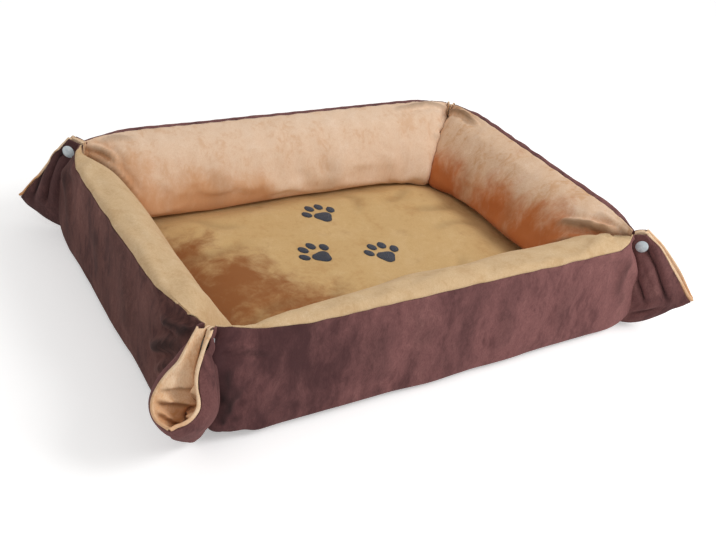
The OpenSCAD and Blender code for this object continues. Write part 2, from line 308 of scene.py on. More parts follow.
def shade_folds(obj: bpy.types.Object, amount: Array) -> None:
    """Stores how deep in a fold each vertex lies, 0 to 1; the plush finishes paint shade there."""
    layer = obj.data.attributes.new("fold_shade", "FLOAT", "POINT")
    layer.data.foreach_set("value", np.clip(amount, 0, 1).astype(np.float32).ravel())


def part_of(obj: bpy.types.Object, name: str, index: int) -> bpy.types.Object:
    """A new object from the faces of obj that carry one material index.

    Args:
        obj: The whole cushion, with its folds shaded.
        name: Name of the new piece.
        index: The material index to keep.

    Returns:
        The new piece, an open shell.
    """
    keep = [p for p in obj.data.polygons if p.material_index == index]
    used = sorted({v for p in keep for v in p.vertices})
    again = {v: k for k, v in enumerate(used)}
    piece = make_object(name, vertices_of(obj)[used], [[again[v] for v in p.vertices] for p in keep])
    shade_folds(piece, values_of(obj.data.attributes["fold_shade"].data, "value", 1)[used])
    return piece


@dataclass(frozen=True)
class Crease:
    """A fold pressed into cloth along a path, with a soft ridge on both sides.

    path holds points near the cloth, in mm. The painted shade is full at the depth full_shade.
    """

    full_shade: ClassVar[float] = 4.5

    path: tuple[tuple[float, float, float], ...]
    width: float
    depth: float

    def laid_on(self, tree: BVHTree) -> "Crease":
        """The same fold with its path laid on a surface."""
        line = spline(self.path, 4 * len(self.path) + 1)
        return Crease(tuple(tuple(tree.find_nearest(Vector(p))[0]) for p in line), self.width, self.depth)

    def push(self, points: Array) -> Array:
        """How far each point moves along its normal, in mm.

        Args:
            points: Places, in mm.

        Returns:
            One number for each place.
        """
        nearest = np.full(len(points), 1e9)
        along = np.zeros(len(points))
        ends = np.asarray(self.path, float)
        count = len(ends) - 1
        for i, (a, b) in enumerate(zip(ends[:-1], ends[1:])):
            run = b - a
            t = np.clip((points - a) @ run / max(float(run @ run), 1e-6), 0, 1)
            gap = np.linalg.norm(points - (a + t[:, None] * run), axis=1)
            closer = gap < nearest
            nearest = np.where(closer, gap, nearest)
            along = np.where(closer, (i + t) / count, along)
        d = nearest / self.width
        fade = np.sin(math.pi * np.clip(along, 0.02, 0.98)) ** 0.5
        return self.depth * fade * (-np.exp(-(d**2)) + 0.45 * np.exp(-((d - 1.7) ** 2)))


def press(obj: bpy.types.Object, creases: Sequence[Crease], hold: Array) -> None:
    """Presses creases into an object.

    Args:
        obj: The cloth or cushion.
        creases: The folds to press.
        hold: How freely each vertex moves, 0 to 1.
    """
    points = vertices_of(obj)
    tree = surface_of(obj)
    push = hold * sum((c.laid_on(tree).push(points) for c in creases), np.zeros(len(points)))
    set_vertices(obj, points + normals_of(obj) * push[:, None])
    # Stores the crease depth for the finishes' painted shade.
    shade_folds(obj, -push / Crease.full_shade)


def folds(*table: tuple) -> tuple[Crease, ...]:
    """Creases from rows of a path, a width and a depth."""
    return tuple(Crease(*row) for row in table)


# Cloth simulation


@dataclass(frozen=True)
class Inflation:
    """Fills a closed cushion with loose fibre: a short cloth simulation with pressure and no gravity.

    No point moves further than about cap, in mm, and slack is the share by which the cloth is larger.
    """

    pressure: float
    frames: int
    cap: float
    slack: float

    def swollen(self, obj: bpy.types.Object, held: Array) -> Array:
        """The cushion's vertices after the simulation, in mm.

        Args:
            obj: A closed mesh, slightly smaller than the cushion.
            held: For each vertex how firmly it is sewn or rests, 0 to 1.

        Returns:
            One place for each vertex.
        """
        scene = bpy.context.scene
        group = obj.vertex_groups.new(name="held")
        for value in np.unique(np.round(held, 2)):
            picked = np.flatnonzero(np.round(held, 2) == value)
            group.add([int(i) for i in picked], float(value), "REPLACE")
        mod = obj.modifiers.new("Filling", "CLOTH")
        cloth = {
            "quality": 5, "mass": 0.3, "air_damping": 4.0, "tension_stiffness": 14.0,
            "compression_stiffness": 10.0, "shear_stiffness": 5.0, "bending_stiffness": 0.6,
            "use_pressure": True, "uniform_pressure_force": self.pressure, "vertex_group_mass": "held",
            "pin_stiffness": 1.0, "shrink_min": -self.slack,
        }
        for key, value in cloth.items():
            setattr(mod.settings, key, value)
        mod.settings.effector_weights.gravity = 0.0
        mod.collision_settings.use_self_collision = False
        mod.collision_settings.use_collision = False
        mod.point_cache.frame_start = 1
        mod.point_cache.frame_end = self.frames
        for frame in range(1, self.frames + 1):
            scene.frame_set(frame)
        shown = obj.evaluated_get(bpy.context.evaluated_depsgraph_get())
        end = values_of(shown.data.vertices, "co") / MM
        obj.modifiers.remove(mod)
        obj.vertex_groups.clear()
        scene.frame_set(1)
        return end

    def run(self, obj: bpy.types.Object, held: Array) -> None:
        """Swells the cushion in place.

        Args:
            obj: A closed mesh, slightly smaller than the cushion.
            held: For each vertex how firmly it is sewn or rests, 0 to 1.
        """
        start = vertices_of(obj)
        move = self.swollen(obj, held) - start
        far = np.linalg.norm(move, axis=1)
        if not np.isfinite(far).all():
            LOG.warning("%s: the simulation did not settle, so the drawn shape stays", obj.name)
            return
        share = self.cap * np.tanh(far / self.cap) / np.maximum(far, 1e-6)
        set_vertices(obj, start + move * share[:, None])
        LOG.info("%s: filled, moved %.1f mm on average, %.1f mm at most", obj.name, far.mean(), far.max())


# Finishes


def srgb(red: float, green: float, blue: float) -> tuple[float, float, float, float]:
    """A colour given in 0 to 255 steps, as Blender's linear colour.

    Args:
        red: Red.
        green: Green.
        blue: Blue.

    Returns:
        The colour with an alpha of 1.
    """
    steps = [c / 255.0 for c in (red, green, blue)]
    linear = [c / 12.92 if c <= 0.04045 else ((c + 0.055) / 1.055) ** 2.4 for c in steps]
    return (linear[0], linear[1], linear[2], 1.0)


class Nodes:
    """Adds and links the nodes of one tree."""

    def __init__(self, tree: bpy.types.NodeTree) -> None:
        """Keeps the tree that the nodes go into."""
        self.tree = tree

    def feed(self, into: Socket, value: object) -> None:
        """Links an output to an input, or sets the input's value.

        Args:
            into: The input.
            value: An output, or a plain value.
        """
        if isinstance(value, Socket):
            self.tree.links.new(value, into)
        else:
            into.default_value = value

    def add(self, kind: str, feeds: Optional[dict] = None, **values: object) -> bpy.types.Node:
        """Adds a node.

        Args:
            kind: The node's type name.
            feeds: A socket or a value for each input, by the input's name or number.
            values: Properties of the node.

        Returns:
            The node.
        """
        node = self.tree.nodes.new(kind)
        for key, value in values.items():
            setattr(node, key, value)
        for key, value in (feeds or {}).items():
            self.feed(node.inputs[key], value)
        return node

    def math(self, operation: str, a: object, b: object = 0.0, clamp: bool = False) -> Socket:
        """The result of an operation on two sockets or numbers."""
        return self.add("ShaderNodeMath", {0: a, 1: b}, operation=operation, use_clamp=clamp).outputs[0]

    def blend(self, factor: object, a: object, b: object) -> Socket:
        """A colour mix node.

        Args:
            factor: A socket or a number.
            a: The first colour or socket.
            b: The second colour or socket.

        Returns:
            The mixed colour.
        """
        node = self.add("ShaderNodeMix", {0: factor}, data_type="RGBA")
        for into, value in zip([s for s in node.inputs if s.type == "RGBA"], (a, b)):
            self.feed(into, value)
        return next(s for s in node.outputs if s.type == "RGBA")

    def noise(self, vector: object, scale: object, detail: float, rough: float = 0.5) -> Socket:
        """A noise value, 0 to 1, with scale in cells per metre, and rough for how strong finer layers are."""
        feeds = {"Vector": vector, "Scale": scale, "Detail": detail, "Roughness": rough}
        return self.add("ShaderNodeTexNoise", feeds).outputs["Fac"]

    def span(self, value: Socket, low: float, high: float) -> Socket:
        """Maps low to 0 and high to 1, smoothly."""
        feeds = {"Value": value, "From Min": low, "From Max": high}
        return self.add("ShaderNodeMapRange", feeds, interpolation_type="SMOOTHSTEP").outputs["Result"]

    def scaled(self, vector: Socket, scale: tuple[float, ...]) -> Socket:
        """Coordinates times a scale for each axis."""
        return self.add("ShaderNodeMapping", {"Vector": vector, "Scale": scale}).outputs["Vector"]

    def relief(self, height: Socket, strength: float, distance: float) -> Socket:
        """The normal that a height gives, with distance in metres."""
        feeds = {"Strength": strength, "Distance": distance, "Height": height}
        return self.add("ShaderNodeBump", feeds).outputs["Normal"]


def nap_group() -> bpy.types.NodeTree:
    """The shader group of short plush pile: brushed patches, streaks of laid fibre and the fibre itself.

    Returns:
        A node group with Color, Height and Bent outputs.
    """
    name = "Plush nap"
    if name in bpy.data.node_groups:
        return bpy.data.node_groups[name]
    tree = bpy.data.node_groups.new(name, "ShaderNodeTree")
    sockets = {
        ("INPUT", "Vector"): ("Vector",), ("INPUT", "Color"): ("Pile", "Brushed", "Deep"),
        ("INPUT", "Float"): ("Patch Scale", "Patch Amount", "Fibre Scale"),
        ("OUTPUT", "Color"): ("Color",), ("OUTPUT", "Float"): ("Height",), ("OUTPUT", "Vector"): ("Bent",),
    }
    for (way, kind), labels in sockets.items():
        for label in labels:
            tree.interface.new_socket(label, in_out=way, socket_type=f"NodeSocket{kind}")
    n = Nodes(tree)
    given = n.add("NodeGroupInput").outputs
    feeds = {"Vector": given["Vector"], "Scale": 30.0, "Detail": 2.0}
    warp = n.add("ShaderNodeTexNoise", feeds).outputs["Color"]
    feeds = {0: warp, 1: (0.02, 0.02, 0.02), 2: given["Vector"]}
    bent = n.add("ShaderNodeVectorMath", feeds, operation="MULTIPLY_ADD").outputs[0]
    lay = n.scaled(bent, (1.0, 1.0, 0.35))
    patch = n.noise(lay, given["Patch Scale"], 3.0, 0.6)
    fine = n.noise(lay, n.math("MULTIPLY", given["Patch Scale"], 6.0), 3.0, 0.65)
    fibre = n.noise(lay, given["Fibre Scale"], 2.0, 0.6)
    tone = n.math("ADD", n.math("MULTIPLY", patch, 0.62), n.math("MULTIPLY", fine, 0.38))
    bright = n.math("MULTIPLY", n.span(tone, 0.5, 0.66), given["Patch Amount"])
    dark = n.math("MULTIPLY", n.span(tone, 0.5, 0.36), given["Patch Amount"])
    grain = n.math("MULTIPLY", n.span(fibre, 0.62, 0.34), 0.32)
    colour = n.blend(bright, given["Pile"], given["Brushed"])
    for shade in (dark, grain):
        colour = n.blend(shade, colour, given["Deep"])
    height = n.math("ADD", n.math("MULTIPLY", fibre, 0.5), n.math("MULTIPLY", fine, 0.5))
    n.add("NodeGroupOutput", {"Color": colour, "Height": height, "Bent": bent})
    return tree


@dataclass(frozen=True)
class Finish:
    """A material that is made once. Colours are 0 to 255 steps."""

    name: str

    def paint(self, n: Nodes, place: Socket) -> dict[str, object]:
        """Adds the finish's nodes on Object coordinates and returns what each shader input gets."""
        raise NotImplementedError

    def material(self) -> bpy.types.Material:
        """The finish as a material.

        Returns:
            The material, made at the first call.
        """
        if self.name in bpy.data.materials:
            return bpy.data.materials[self.name]
        mat = bpy.data.materials.new(self.name)
        mat.use_nodes = True
        n = Nodes(mat.node_tree)
        inputs = self.paint(n, n.add("ShaderNodeTexCoord").outputs["Object"])
        for key, value in inputs.items():
            n.feed(mat.node_tree.nodes["Principled BSDF"].inputs[key], value)
        return mat


@dataclass(frozen=True)
class Plush(Finish):
    """A short-pile plush finish.

    The stain is a darker tone in streaky clouds: partly pile brushed the other way, and partly
    painted shade. It comes in along stain_way, from none at stain_from to most at
    stain_to, in mm. hollow is how bright the painted shade deep in a fold is, as a share of deep.
    """

    pile: tuple[int, int, int]
    brushed: tuple[int, int, int]
    deep: tuple[int, int, int]
    patch_scale: float
    patch_amount: float
    fibre_scale: float
    relief: float
    sheen: float
    stain: Optional[tuple[int, int, int]] = None
    stain_way: tuple[float, float, float] = (0.0, 0.0, -1.0)
    stain_from: float = 0.0
    stain_to: float = 0.0
    stain_amount: float = 0.0
    hollow: float = 0.35

    def stained(self, n: Nodes, place: Socket, bent: Socket) -> Socket:
        """How much of the stain and painted shade shows, 0 to 1.

        Args:
            n: The material's nodes.
            place: Object coordinates.
            bent: The same, warped by the nap.

        Returns:
            The share as a socket.
        """
        along = n.add("ShaderNodeVectorMath", {0: place, 1: self.stain_way}, operation="DOT_PRODUCT")
        most = n.span(along.outputs["Value"], self.stain_from * MM, self.stain_to * MM)
        cloud = n.noise(n.scaled(bent, (1.0, 1.0, 0.45)), 20.0, 6.0, 0.66)
        lifted = n.math("ADD", cloud, n.math("MULTIPLY", n.math("SUBTRACT", most, 0.5), 0.46))
        return n.math("MULTIPLY", n.span(lifted, 0.36, 0.74), self.stain_amount, clamp=True)

    def paint(self, n: Nodes, place: Socket) -> dict[str, object]:
        """Adds the nap, the stain and painted shade, and the painted shade of folds.

        Args:
            n: The material's nodes.
            place: Object coordinates.

        Returns:
            What each input of the shader gets.
        """
        feeds = {
            "Vector": place, "Pile": srgb(*self.pile), "Brushed": srgb(*self.brushed),
            "Deep": srgb(*self.deep), "Patch Scale": self.patch_scale, "Patch Amount": self.patch_amount,
            "Fibre Scale": self.fibre_scale,
        }
        nap = n.add("ShaderNodeGroup", feeds, node_tree=nap_group()).outputs
        colour = nap["Color"]
        # Streaky darker tone: partly pile brushed the other way, partly painted shade.
        if self.stain is not None:
            colour = n.blend(self.stained(n, place, nap["Bent"]), colour, srgb(*self.stain))
        # Painted shade deep in creases: the pile turns towards hollow times deep where fold_shade is high.
        fold = n.add("ShaderNodeAttribute", attribute_name="fold_shade").outputs["Fac"]
        hollow = srgb(*(c * self.hollow for c in self.deep))
        return {
            "Base Color": n.blend(n.math("MULTIPLY", fold, 0.85, clamp=True), colour, hollow),
            "Normal": n.relief(nap["Height"], self.relief, 0.0012),
            "Roughness": 0.88, "Specular IOR Level": 0.25,
            "Sheen Weight": self.sheen, "Sheen Roughness": 0.45, "Sheen Tint": srgb(*self.brushed),
        }


@dataclass(frozen=True)
class Thread(Finish):
    """A thread finish: twisted fibre with a soft gloss."""

    colour: tuple[int, int, int]
    light: tuple[int, int, int]
    gloss: float = 0.5

    def paint(self, n: Nodes, place: Socket) -> dict[str, object]:
        """Adds the twist of the fibre.

        Args:
            n: The material's nodes.
            place: Object coordinates.

        Returns:
            What each input of the shader gets.
        """
        twist = n.noise(place, 1800.0, 2.0, 0.6)
        tone = n.math("MULTIPLY", n.span(twist, 0.42, 0.7), n.span(n.noise(place, 120.0, 2.0), 0.3, 0.7))
        return {
            "Base Color": n.blend(tone, srgb(*self.colour), srgb(*self.light)),
            "Normal": n.relief(twist, 0.4, 0.0002), "Roughness": 1.0 - self.gloss, "Sheen Weight": 0.2,
        }


@dataclass(frozen=True)
class Enamel(Finish):
    """A pearly moulded finish for the press studs."""

    colour: tuple[int, int, int]
    cloud: tuple[int, int, int]

    def paint(self, n: Nodes, place: Socket) -> dict[str, object]:
        """Adds pearly clouds and fine wear.

        Args:
            n: The material's nodes.
            place: Object coordinates.

        Returns:
            What each input of the shader gets.
        """
        swirl = n.span(n.noise(place, 260.0, 3.0), 0.35, 0.7)
        return {
            "Base Color": n.blend(swirl, srgb(*self.colour), srgb(*self.cloud)),
            "Roughness": n.math("ADD", n.math("MULTIPLY", n.noise(place, 1500.0, 2.0), 0.12), 0.24),
            "Coat Weight": 0.35, "Coat Roughness": 0.18,
        }


@dataclass(frozen=True)
class Paper(Finish):
    """The studio's matt floor, which glows a little to the camera alone."""

    grey: float = 0.93
    glow: float = 0.36

    def paint(self, n: Nodes, place: Socket) -> dict[str, object]:
        """Adds a plain grey and its glow.

        Args:
            n: The material's nodes.
            place: Object coordinates; not used.

        Returns:
            What each input of the shader gets.
        """
        seen = n.add("ShaderNodeLightPath").outputs["Is Camera Ray"]
        return {
            "Base Color": (self.grey, self.grey, self.grey, 1.0), "Roughness": 0.9, "Specular IOR Level": 0.1,
            "Emission Color": (1.0, 1.0, 1.0, 1.0), "Emission Strength": n.math("MULTIPLY", seen, self.glow),
        }


BROWN = Plush("Brown plush", (114, 74, 72), (142, 98, 94), (68, 40, 41), 22.0, 0.7, 900.0, 0.3, 0.3)
# The front wall's brown, painted lighter as if lit by the key lamp, with painted shade darkening it towards
# the left.
LIT_FRONT_BROWN = Plush(
    "Front brown plush", (133, 88, 86), (154, 106, 102), (84, 50, 51), 22.0, 0.65, 900.0, 0.3, 0.3,
    (64, 37, 39), (-1.0, 0.0, 0.0), -330.0, 420.0, 0.9,
)
# The left wall's brown, painted darker as if in shade away from the key lamp, and darker still towards the
# floor.
SHADED_LEFT_BROWN = Plush(
    "Left brown plush", (104, 68, 62), (132, 90, 82), (62, 37, 36), 22.0, 0.8, 900.0, 0.3, 0.3,
    (48, 28, 28), (0.0, 0.0, -1.0), -260.0, 160.0, 0.75,
)
# Copies of the tan lining for the back wall, the right wall and the top band (the front and left linings),
# each tuned to how light falls on it: their differences in brightness and hue are painted light. Their
# stains, low on the walls, are partly the pile's nap and partly painted warm shade in the hollow.
BACK_TAN = Plush(
    "Back tan plush", (231, 202, 175), (240, 216, 194), (214, 172, 136), 34.0, 0.6, 1000.0, 0.25, 0.2,
    (206, 148, 100), (-0.28, 0.0, -1.0), -92.0, -4.0, 0.8, 0.66,
)
RIGHT_TAN = Plush(
    "Right tan plush", (228, 196, 166), (238, 212, 188), (206, 156, 112), 34.0, 0.65, 1000.0, 0.25, 0.2,
    (190, 108, 54), (0.0, -0.1, -1.0), -130.0, -56.0, 0.95, 0.66,
)
BAND_TAN = Plush(
    "Band tan plush", (212, 182, 142), (226, 200, 164), (190, 154, 110), 60.0, 0.5, 1000.0, 0.3, 0.25,
    (184, 112, 62), (0.0, 0.0, -1.0), -70.0, -30.0, 0.7, 0.66,
)
# The pad: its stain makes it darker and more orange towards the front left.
PAD_TAN = Plush(
    "Pad tan plush", (208, 174, 122), (218, 188, 140), (188, 144, 92), 22.0, 0.5, 1000.0, 0.28, 0.2,
    (142, 84, 42), (-1.0, -0.75, 0.0), 30.0, 205.0, 0.95, 0.66,
)
# The ears' lining: its stain, low inside the ear, is partly the pile's nap and partly painted shade.
EAR_TAN = Plush(
    "Ear tan plush", (236, 206, 172), (246, 224, 196), (206, 156, 108), 50.0, 0.6, 1000.0, 0.3, 0.25,
    (206, 138, 78), (0.0, 0.0, -1.0), -124.0, -30.0, 0.75, 0.66,
)
# The back left ear's brown, painted darker as painted shade.
SHADED_BROWN = Plush(
    "Shaded brown plush", (84, 55, 54), (112, 76, 73), (50, 30, 31), 22.0, 0.7, 900.0, 0.3, 0.25,
)
TAN_THREAD = Thread("Tan sewing thread", (196, 158, 110), (226, 196, 152))
BROWN_THREAD = Thread("Brown sewing thread", (88, 54, 52), (124, 84, 78))
NAVY = Thread("Navy embroidery thread", (5, 16, 36), (16, 36, 66), 0.35)
PEARL = Enamel("Pearly stud", (196, 208, 214), (222, 230, 232))


# Sizes


@dataclass(frozen=True)
class BedSizes:
    """The bed's main sizes, in mm, as in the part's source."""

    length: float = 512.0
    depth: float = 360.0
    corner: float = 120.0
    fold: float = 25.0
    cloth: float = 2.2
    lay: float = 0.3
    end_inset: float = 5.6
    pad_crown: float = 14.0
    crown_run: float = 75.0
    crown_rise_run: float = 50.0
    crown_start: float = 38.0

    @property
    def half_l(self) -> float:
        """Half the bed's length."""
        return self.length / 2

    @property
    def half_d(self) -> float:
        """Half the bed's depth."""
        return self.depth / 2

    def pad_height(self, x: Array, y: Array) -> Array:
        """Height of the base pad's upper face, in mm, at places x, y.

        Args:
            x: Places to the right.
            y: Places to the back.

        Returns:
            One height for each place.
        """
        along = np.clip((self.half_l - np.abs(x) - self.crown_start) / self.crown_run, 0, 1)
        across = np.clip((self.half_d - np.abs(y) - self.crown_start) / self.crown_rise_run, 0, 1)
        rise = along**2 * (3 - 2 * along) * across**2 * (3 - 2 * across)
        return self.fold + self.lay / 2 + self.cloth + self.pad_crown * rise


BED = BedSizes()


# Base pad


@dataclass
class BasePad:
    """The padded base: a brown underside and a tan upper cloth, filled as one cushion.

    near lists how far in from the edge the closest grid lines stand, and pitch is the spacing of the rest.
    hold is how firmly the upper cloth stays down while it is filled, and hill, seed and unevenness are the
    width, the pattern and the height of the filling's soft hills.
    """

    sizes: BedSizes = BED
    edge: float = 1.2
    pitch: float = 8.0
    near: tuple[float, ...] = (0.0, 2.5, 6.0, 11.0, 17.0, 23.0, 26.0, 27.4, 28.6, 31.0, 36.0)
    cloth: float = 1.6
    hold: float = 0.12
    unevenness: float = 0.9
    hill: float = 46.0
    seed: int = 5
    filling: Inflation = Inflation(4.0, 20, 3.0, 0.02)
    creases: tuple[Crease, ...] = folds(
        (((150, 108, 40), (120, 84, 40), (96, 78, 40)), 9.0, 1.6),
        (((196, 60, 34), (160, 48, 40), (120, 52, 40)), 10.0, 1.8),
        (((198, 6, 34), (158, 10, 40), (120, 2, 40)), 9.0, 1.4),
        (((60, 122, 35), (64, 94, 40), (50, 66, 40)), 10.0, 1.5),
        (((-196, 40, 34), (-150, 34, 40), (-110, 44, 40)), 10.0, 1.4),
        (((-150, 118, 35), (-130, 86, 40), (-100, 76, 40)), 9.0, 1.5),
        (((-60, -118, 35), (-66, -84, 40), (-40, -60, 40)), 10.0, 1.4),
        (((110, -120, 35), (104, -86, 40), (120, -60, 40)), 10.0, 1.6),
        (((-180, -100, 34), (-140, -80, 40), (-104, -78, 40)), 9.0, 1.6),
    )
    tree: Optional[BVHTree] = None

    def lines(self, half: float) -> Array:
        """Places of the grid lines across one direction.

        Args:
            half: Half the bed's size in this direction.

        Returns:
            Coordinates from one edge to the other.
        """
        last = self.near[-1]
        rest = np.linspace(last, half - self.edge, max(2, round((half - last) / self.pitch)))[1:]
        places = half - self.edge - np.r_[self.near, rest[:-1], half - self.edge]
        return np.r_[-places, places[::-1][1:]]

    def under(self, inset: Array) -> Array:
        """Height of the underside at a distance in from the edge."""
        at = [0.0, 2.5, 6.0, 26.0, 27.4, 28.6, 31.0, 36.0, 60.0]
        return np.interp(inset, at, [25.0, 22.9, 22.6, 22.4, 21.0, 6.0, 1.6, 0.4, 0.2])

    def middle(self, points: Array) -> Array:
        """How free the cloth is at each point, from 0 near the edge to 1 in the middle."""
        s = self.sizes
        return ramp(s.half_l - np.abs(points[:, 0]), 4, 40) * ramp(s.half_d - np.abs(points[:, 1]), 4, 40)

    def build(self) -> None:
        """Makes, fills, splits and dresses the base."""
        s = self.sizes
        gx, gy = np.meshgrid(self.lines(s.half_l), self.lines(s.half_d))
        inset = np.minimum(s.half_l - self.edge - np.abs(gx), s.half_d - self.edge - np.abs(gy))
        top = mix(np.full_like(gx, s.fold), s.pad_height(gx, gy) - 1.0, ramp(inset, -0.5, 5.0))
        grids = [np.stack([gx, gy, z], -1) for z in (top, self.under(inset))]
        pad, border = cushion_form("base_form", *grids)
        self.filling.run(pad, np.r_[np.where(border, 1.0, self.hold), np.ones((~border).sum())])
        points = vertices_of(pad)
        calm = self.middle(points) * (np.arange(len(points)) < gx.size)
        points[:, 2] += calm * self.unevenness * soft_noise(points * (1, 1, 0), self.hill, self.seed)
        set_vertices(pad, points)
        refine(pad)
        points = vertices_of(pad)
        press(pad, self.creases, self.middle(points) * ramp(points[:, 2], 24, 27))
        self.finish(pad)

    def finish(self, pad: bpy.types.Object) -> None:
        """Splits the filled form at its edge seam and dresses the two cloths.

        Args:
            pad: The base's form.
        """
        lining = part_of(pad, "base_lining_plush", 0)
        cover = part_of(pad, "base_cover_plush", 1)
        bpy.data.objects.remove(pad)
        self.tree = surface_of(lining)
        for obj, finish in ((lining, PAD_TAN), (cover, BROWN)):
            clothe(obj, self.cloth, finish)
            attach(obj, "base")
        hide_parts("base_lining", "base_filling")
        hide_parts("base_cover")
        LOG.info("base pad: %d and %d faces", len(lining.data.polygons), len(cover.data.polygons))

    def height_at(self, x: float, y: float) -> float:
        """Height of the finished upper cloth at a place, in mm."""
        hit = self.tree.ray_cast(Vector((x, y, 200.0)), Vector((0, 0, -1)))
        return hit[0].z if hit[0] is not None else float(self.sizes.pad_height(x, y))


# Walls


class Side(Enum):
    """A wall: its name and its turn about +Z from the front wall."""

    FRONT = ("front", 0)
    BACK = ("back", 180)
    LEFT = ("left", -90)
    RIGHT = ("right", 90)

    @property
    def label(self) -> str:
        """The wall's name."""
        return self.value[0]

    @property
    def turn(self) -> float:
        """The wall's turn, in degrees."""
        return self.value[1]


def turned(points: Array, degrees: float) -> Array:
    """Points turned about +Z."""
    c, s = math.cos(math.radians(degrees)), math.sin(math.radians(degrees))
    return points @ np.array([[c, s, 0], [-s, c, 0], [0, 0, 1.0]])


@dataclass(frozen=True)
class WallEnd:
    """How one end of a wall is stuffed. All lengths are in mm.

    swell is how far the end bulges past its seam, blunt the length over which the outer face rounds off,
    taper the same for the inner face, rim the same for the rim seam, over how far the inner face leans
    over the corner's diagonal onto its neighbour, low_swell and high_swell the shares of swell near the
    floor and just below the rim, foot the share by which the underside rises at the end, fade the share
    of the section over which the swell ends at the rim, and shoulder where the section turns to the rim.
    """

    swell: float = 12.0
    blunt: float = 34.0
    taper: float = 62.0
    rim: float = 60.0
    over: float = 0.0
    high_swell: float = 0.2
    low_swell: float = 1.0
    foot: float = 0.0
    fade: float = 0.3
    shoulder: float = 0.72


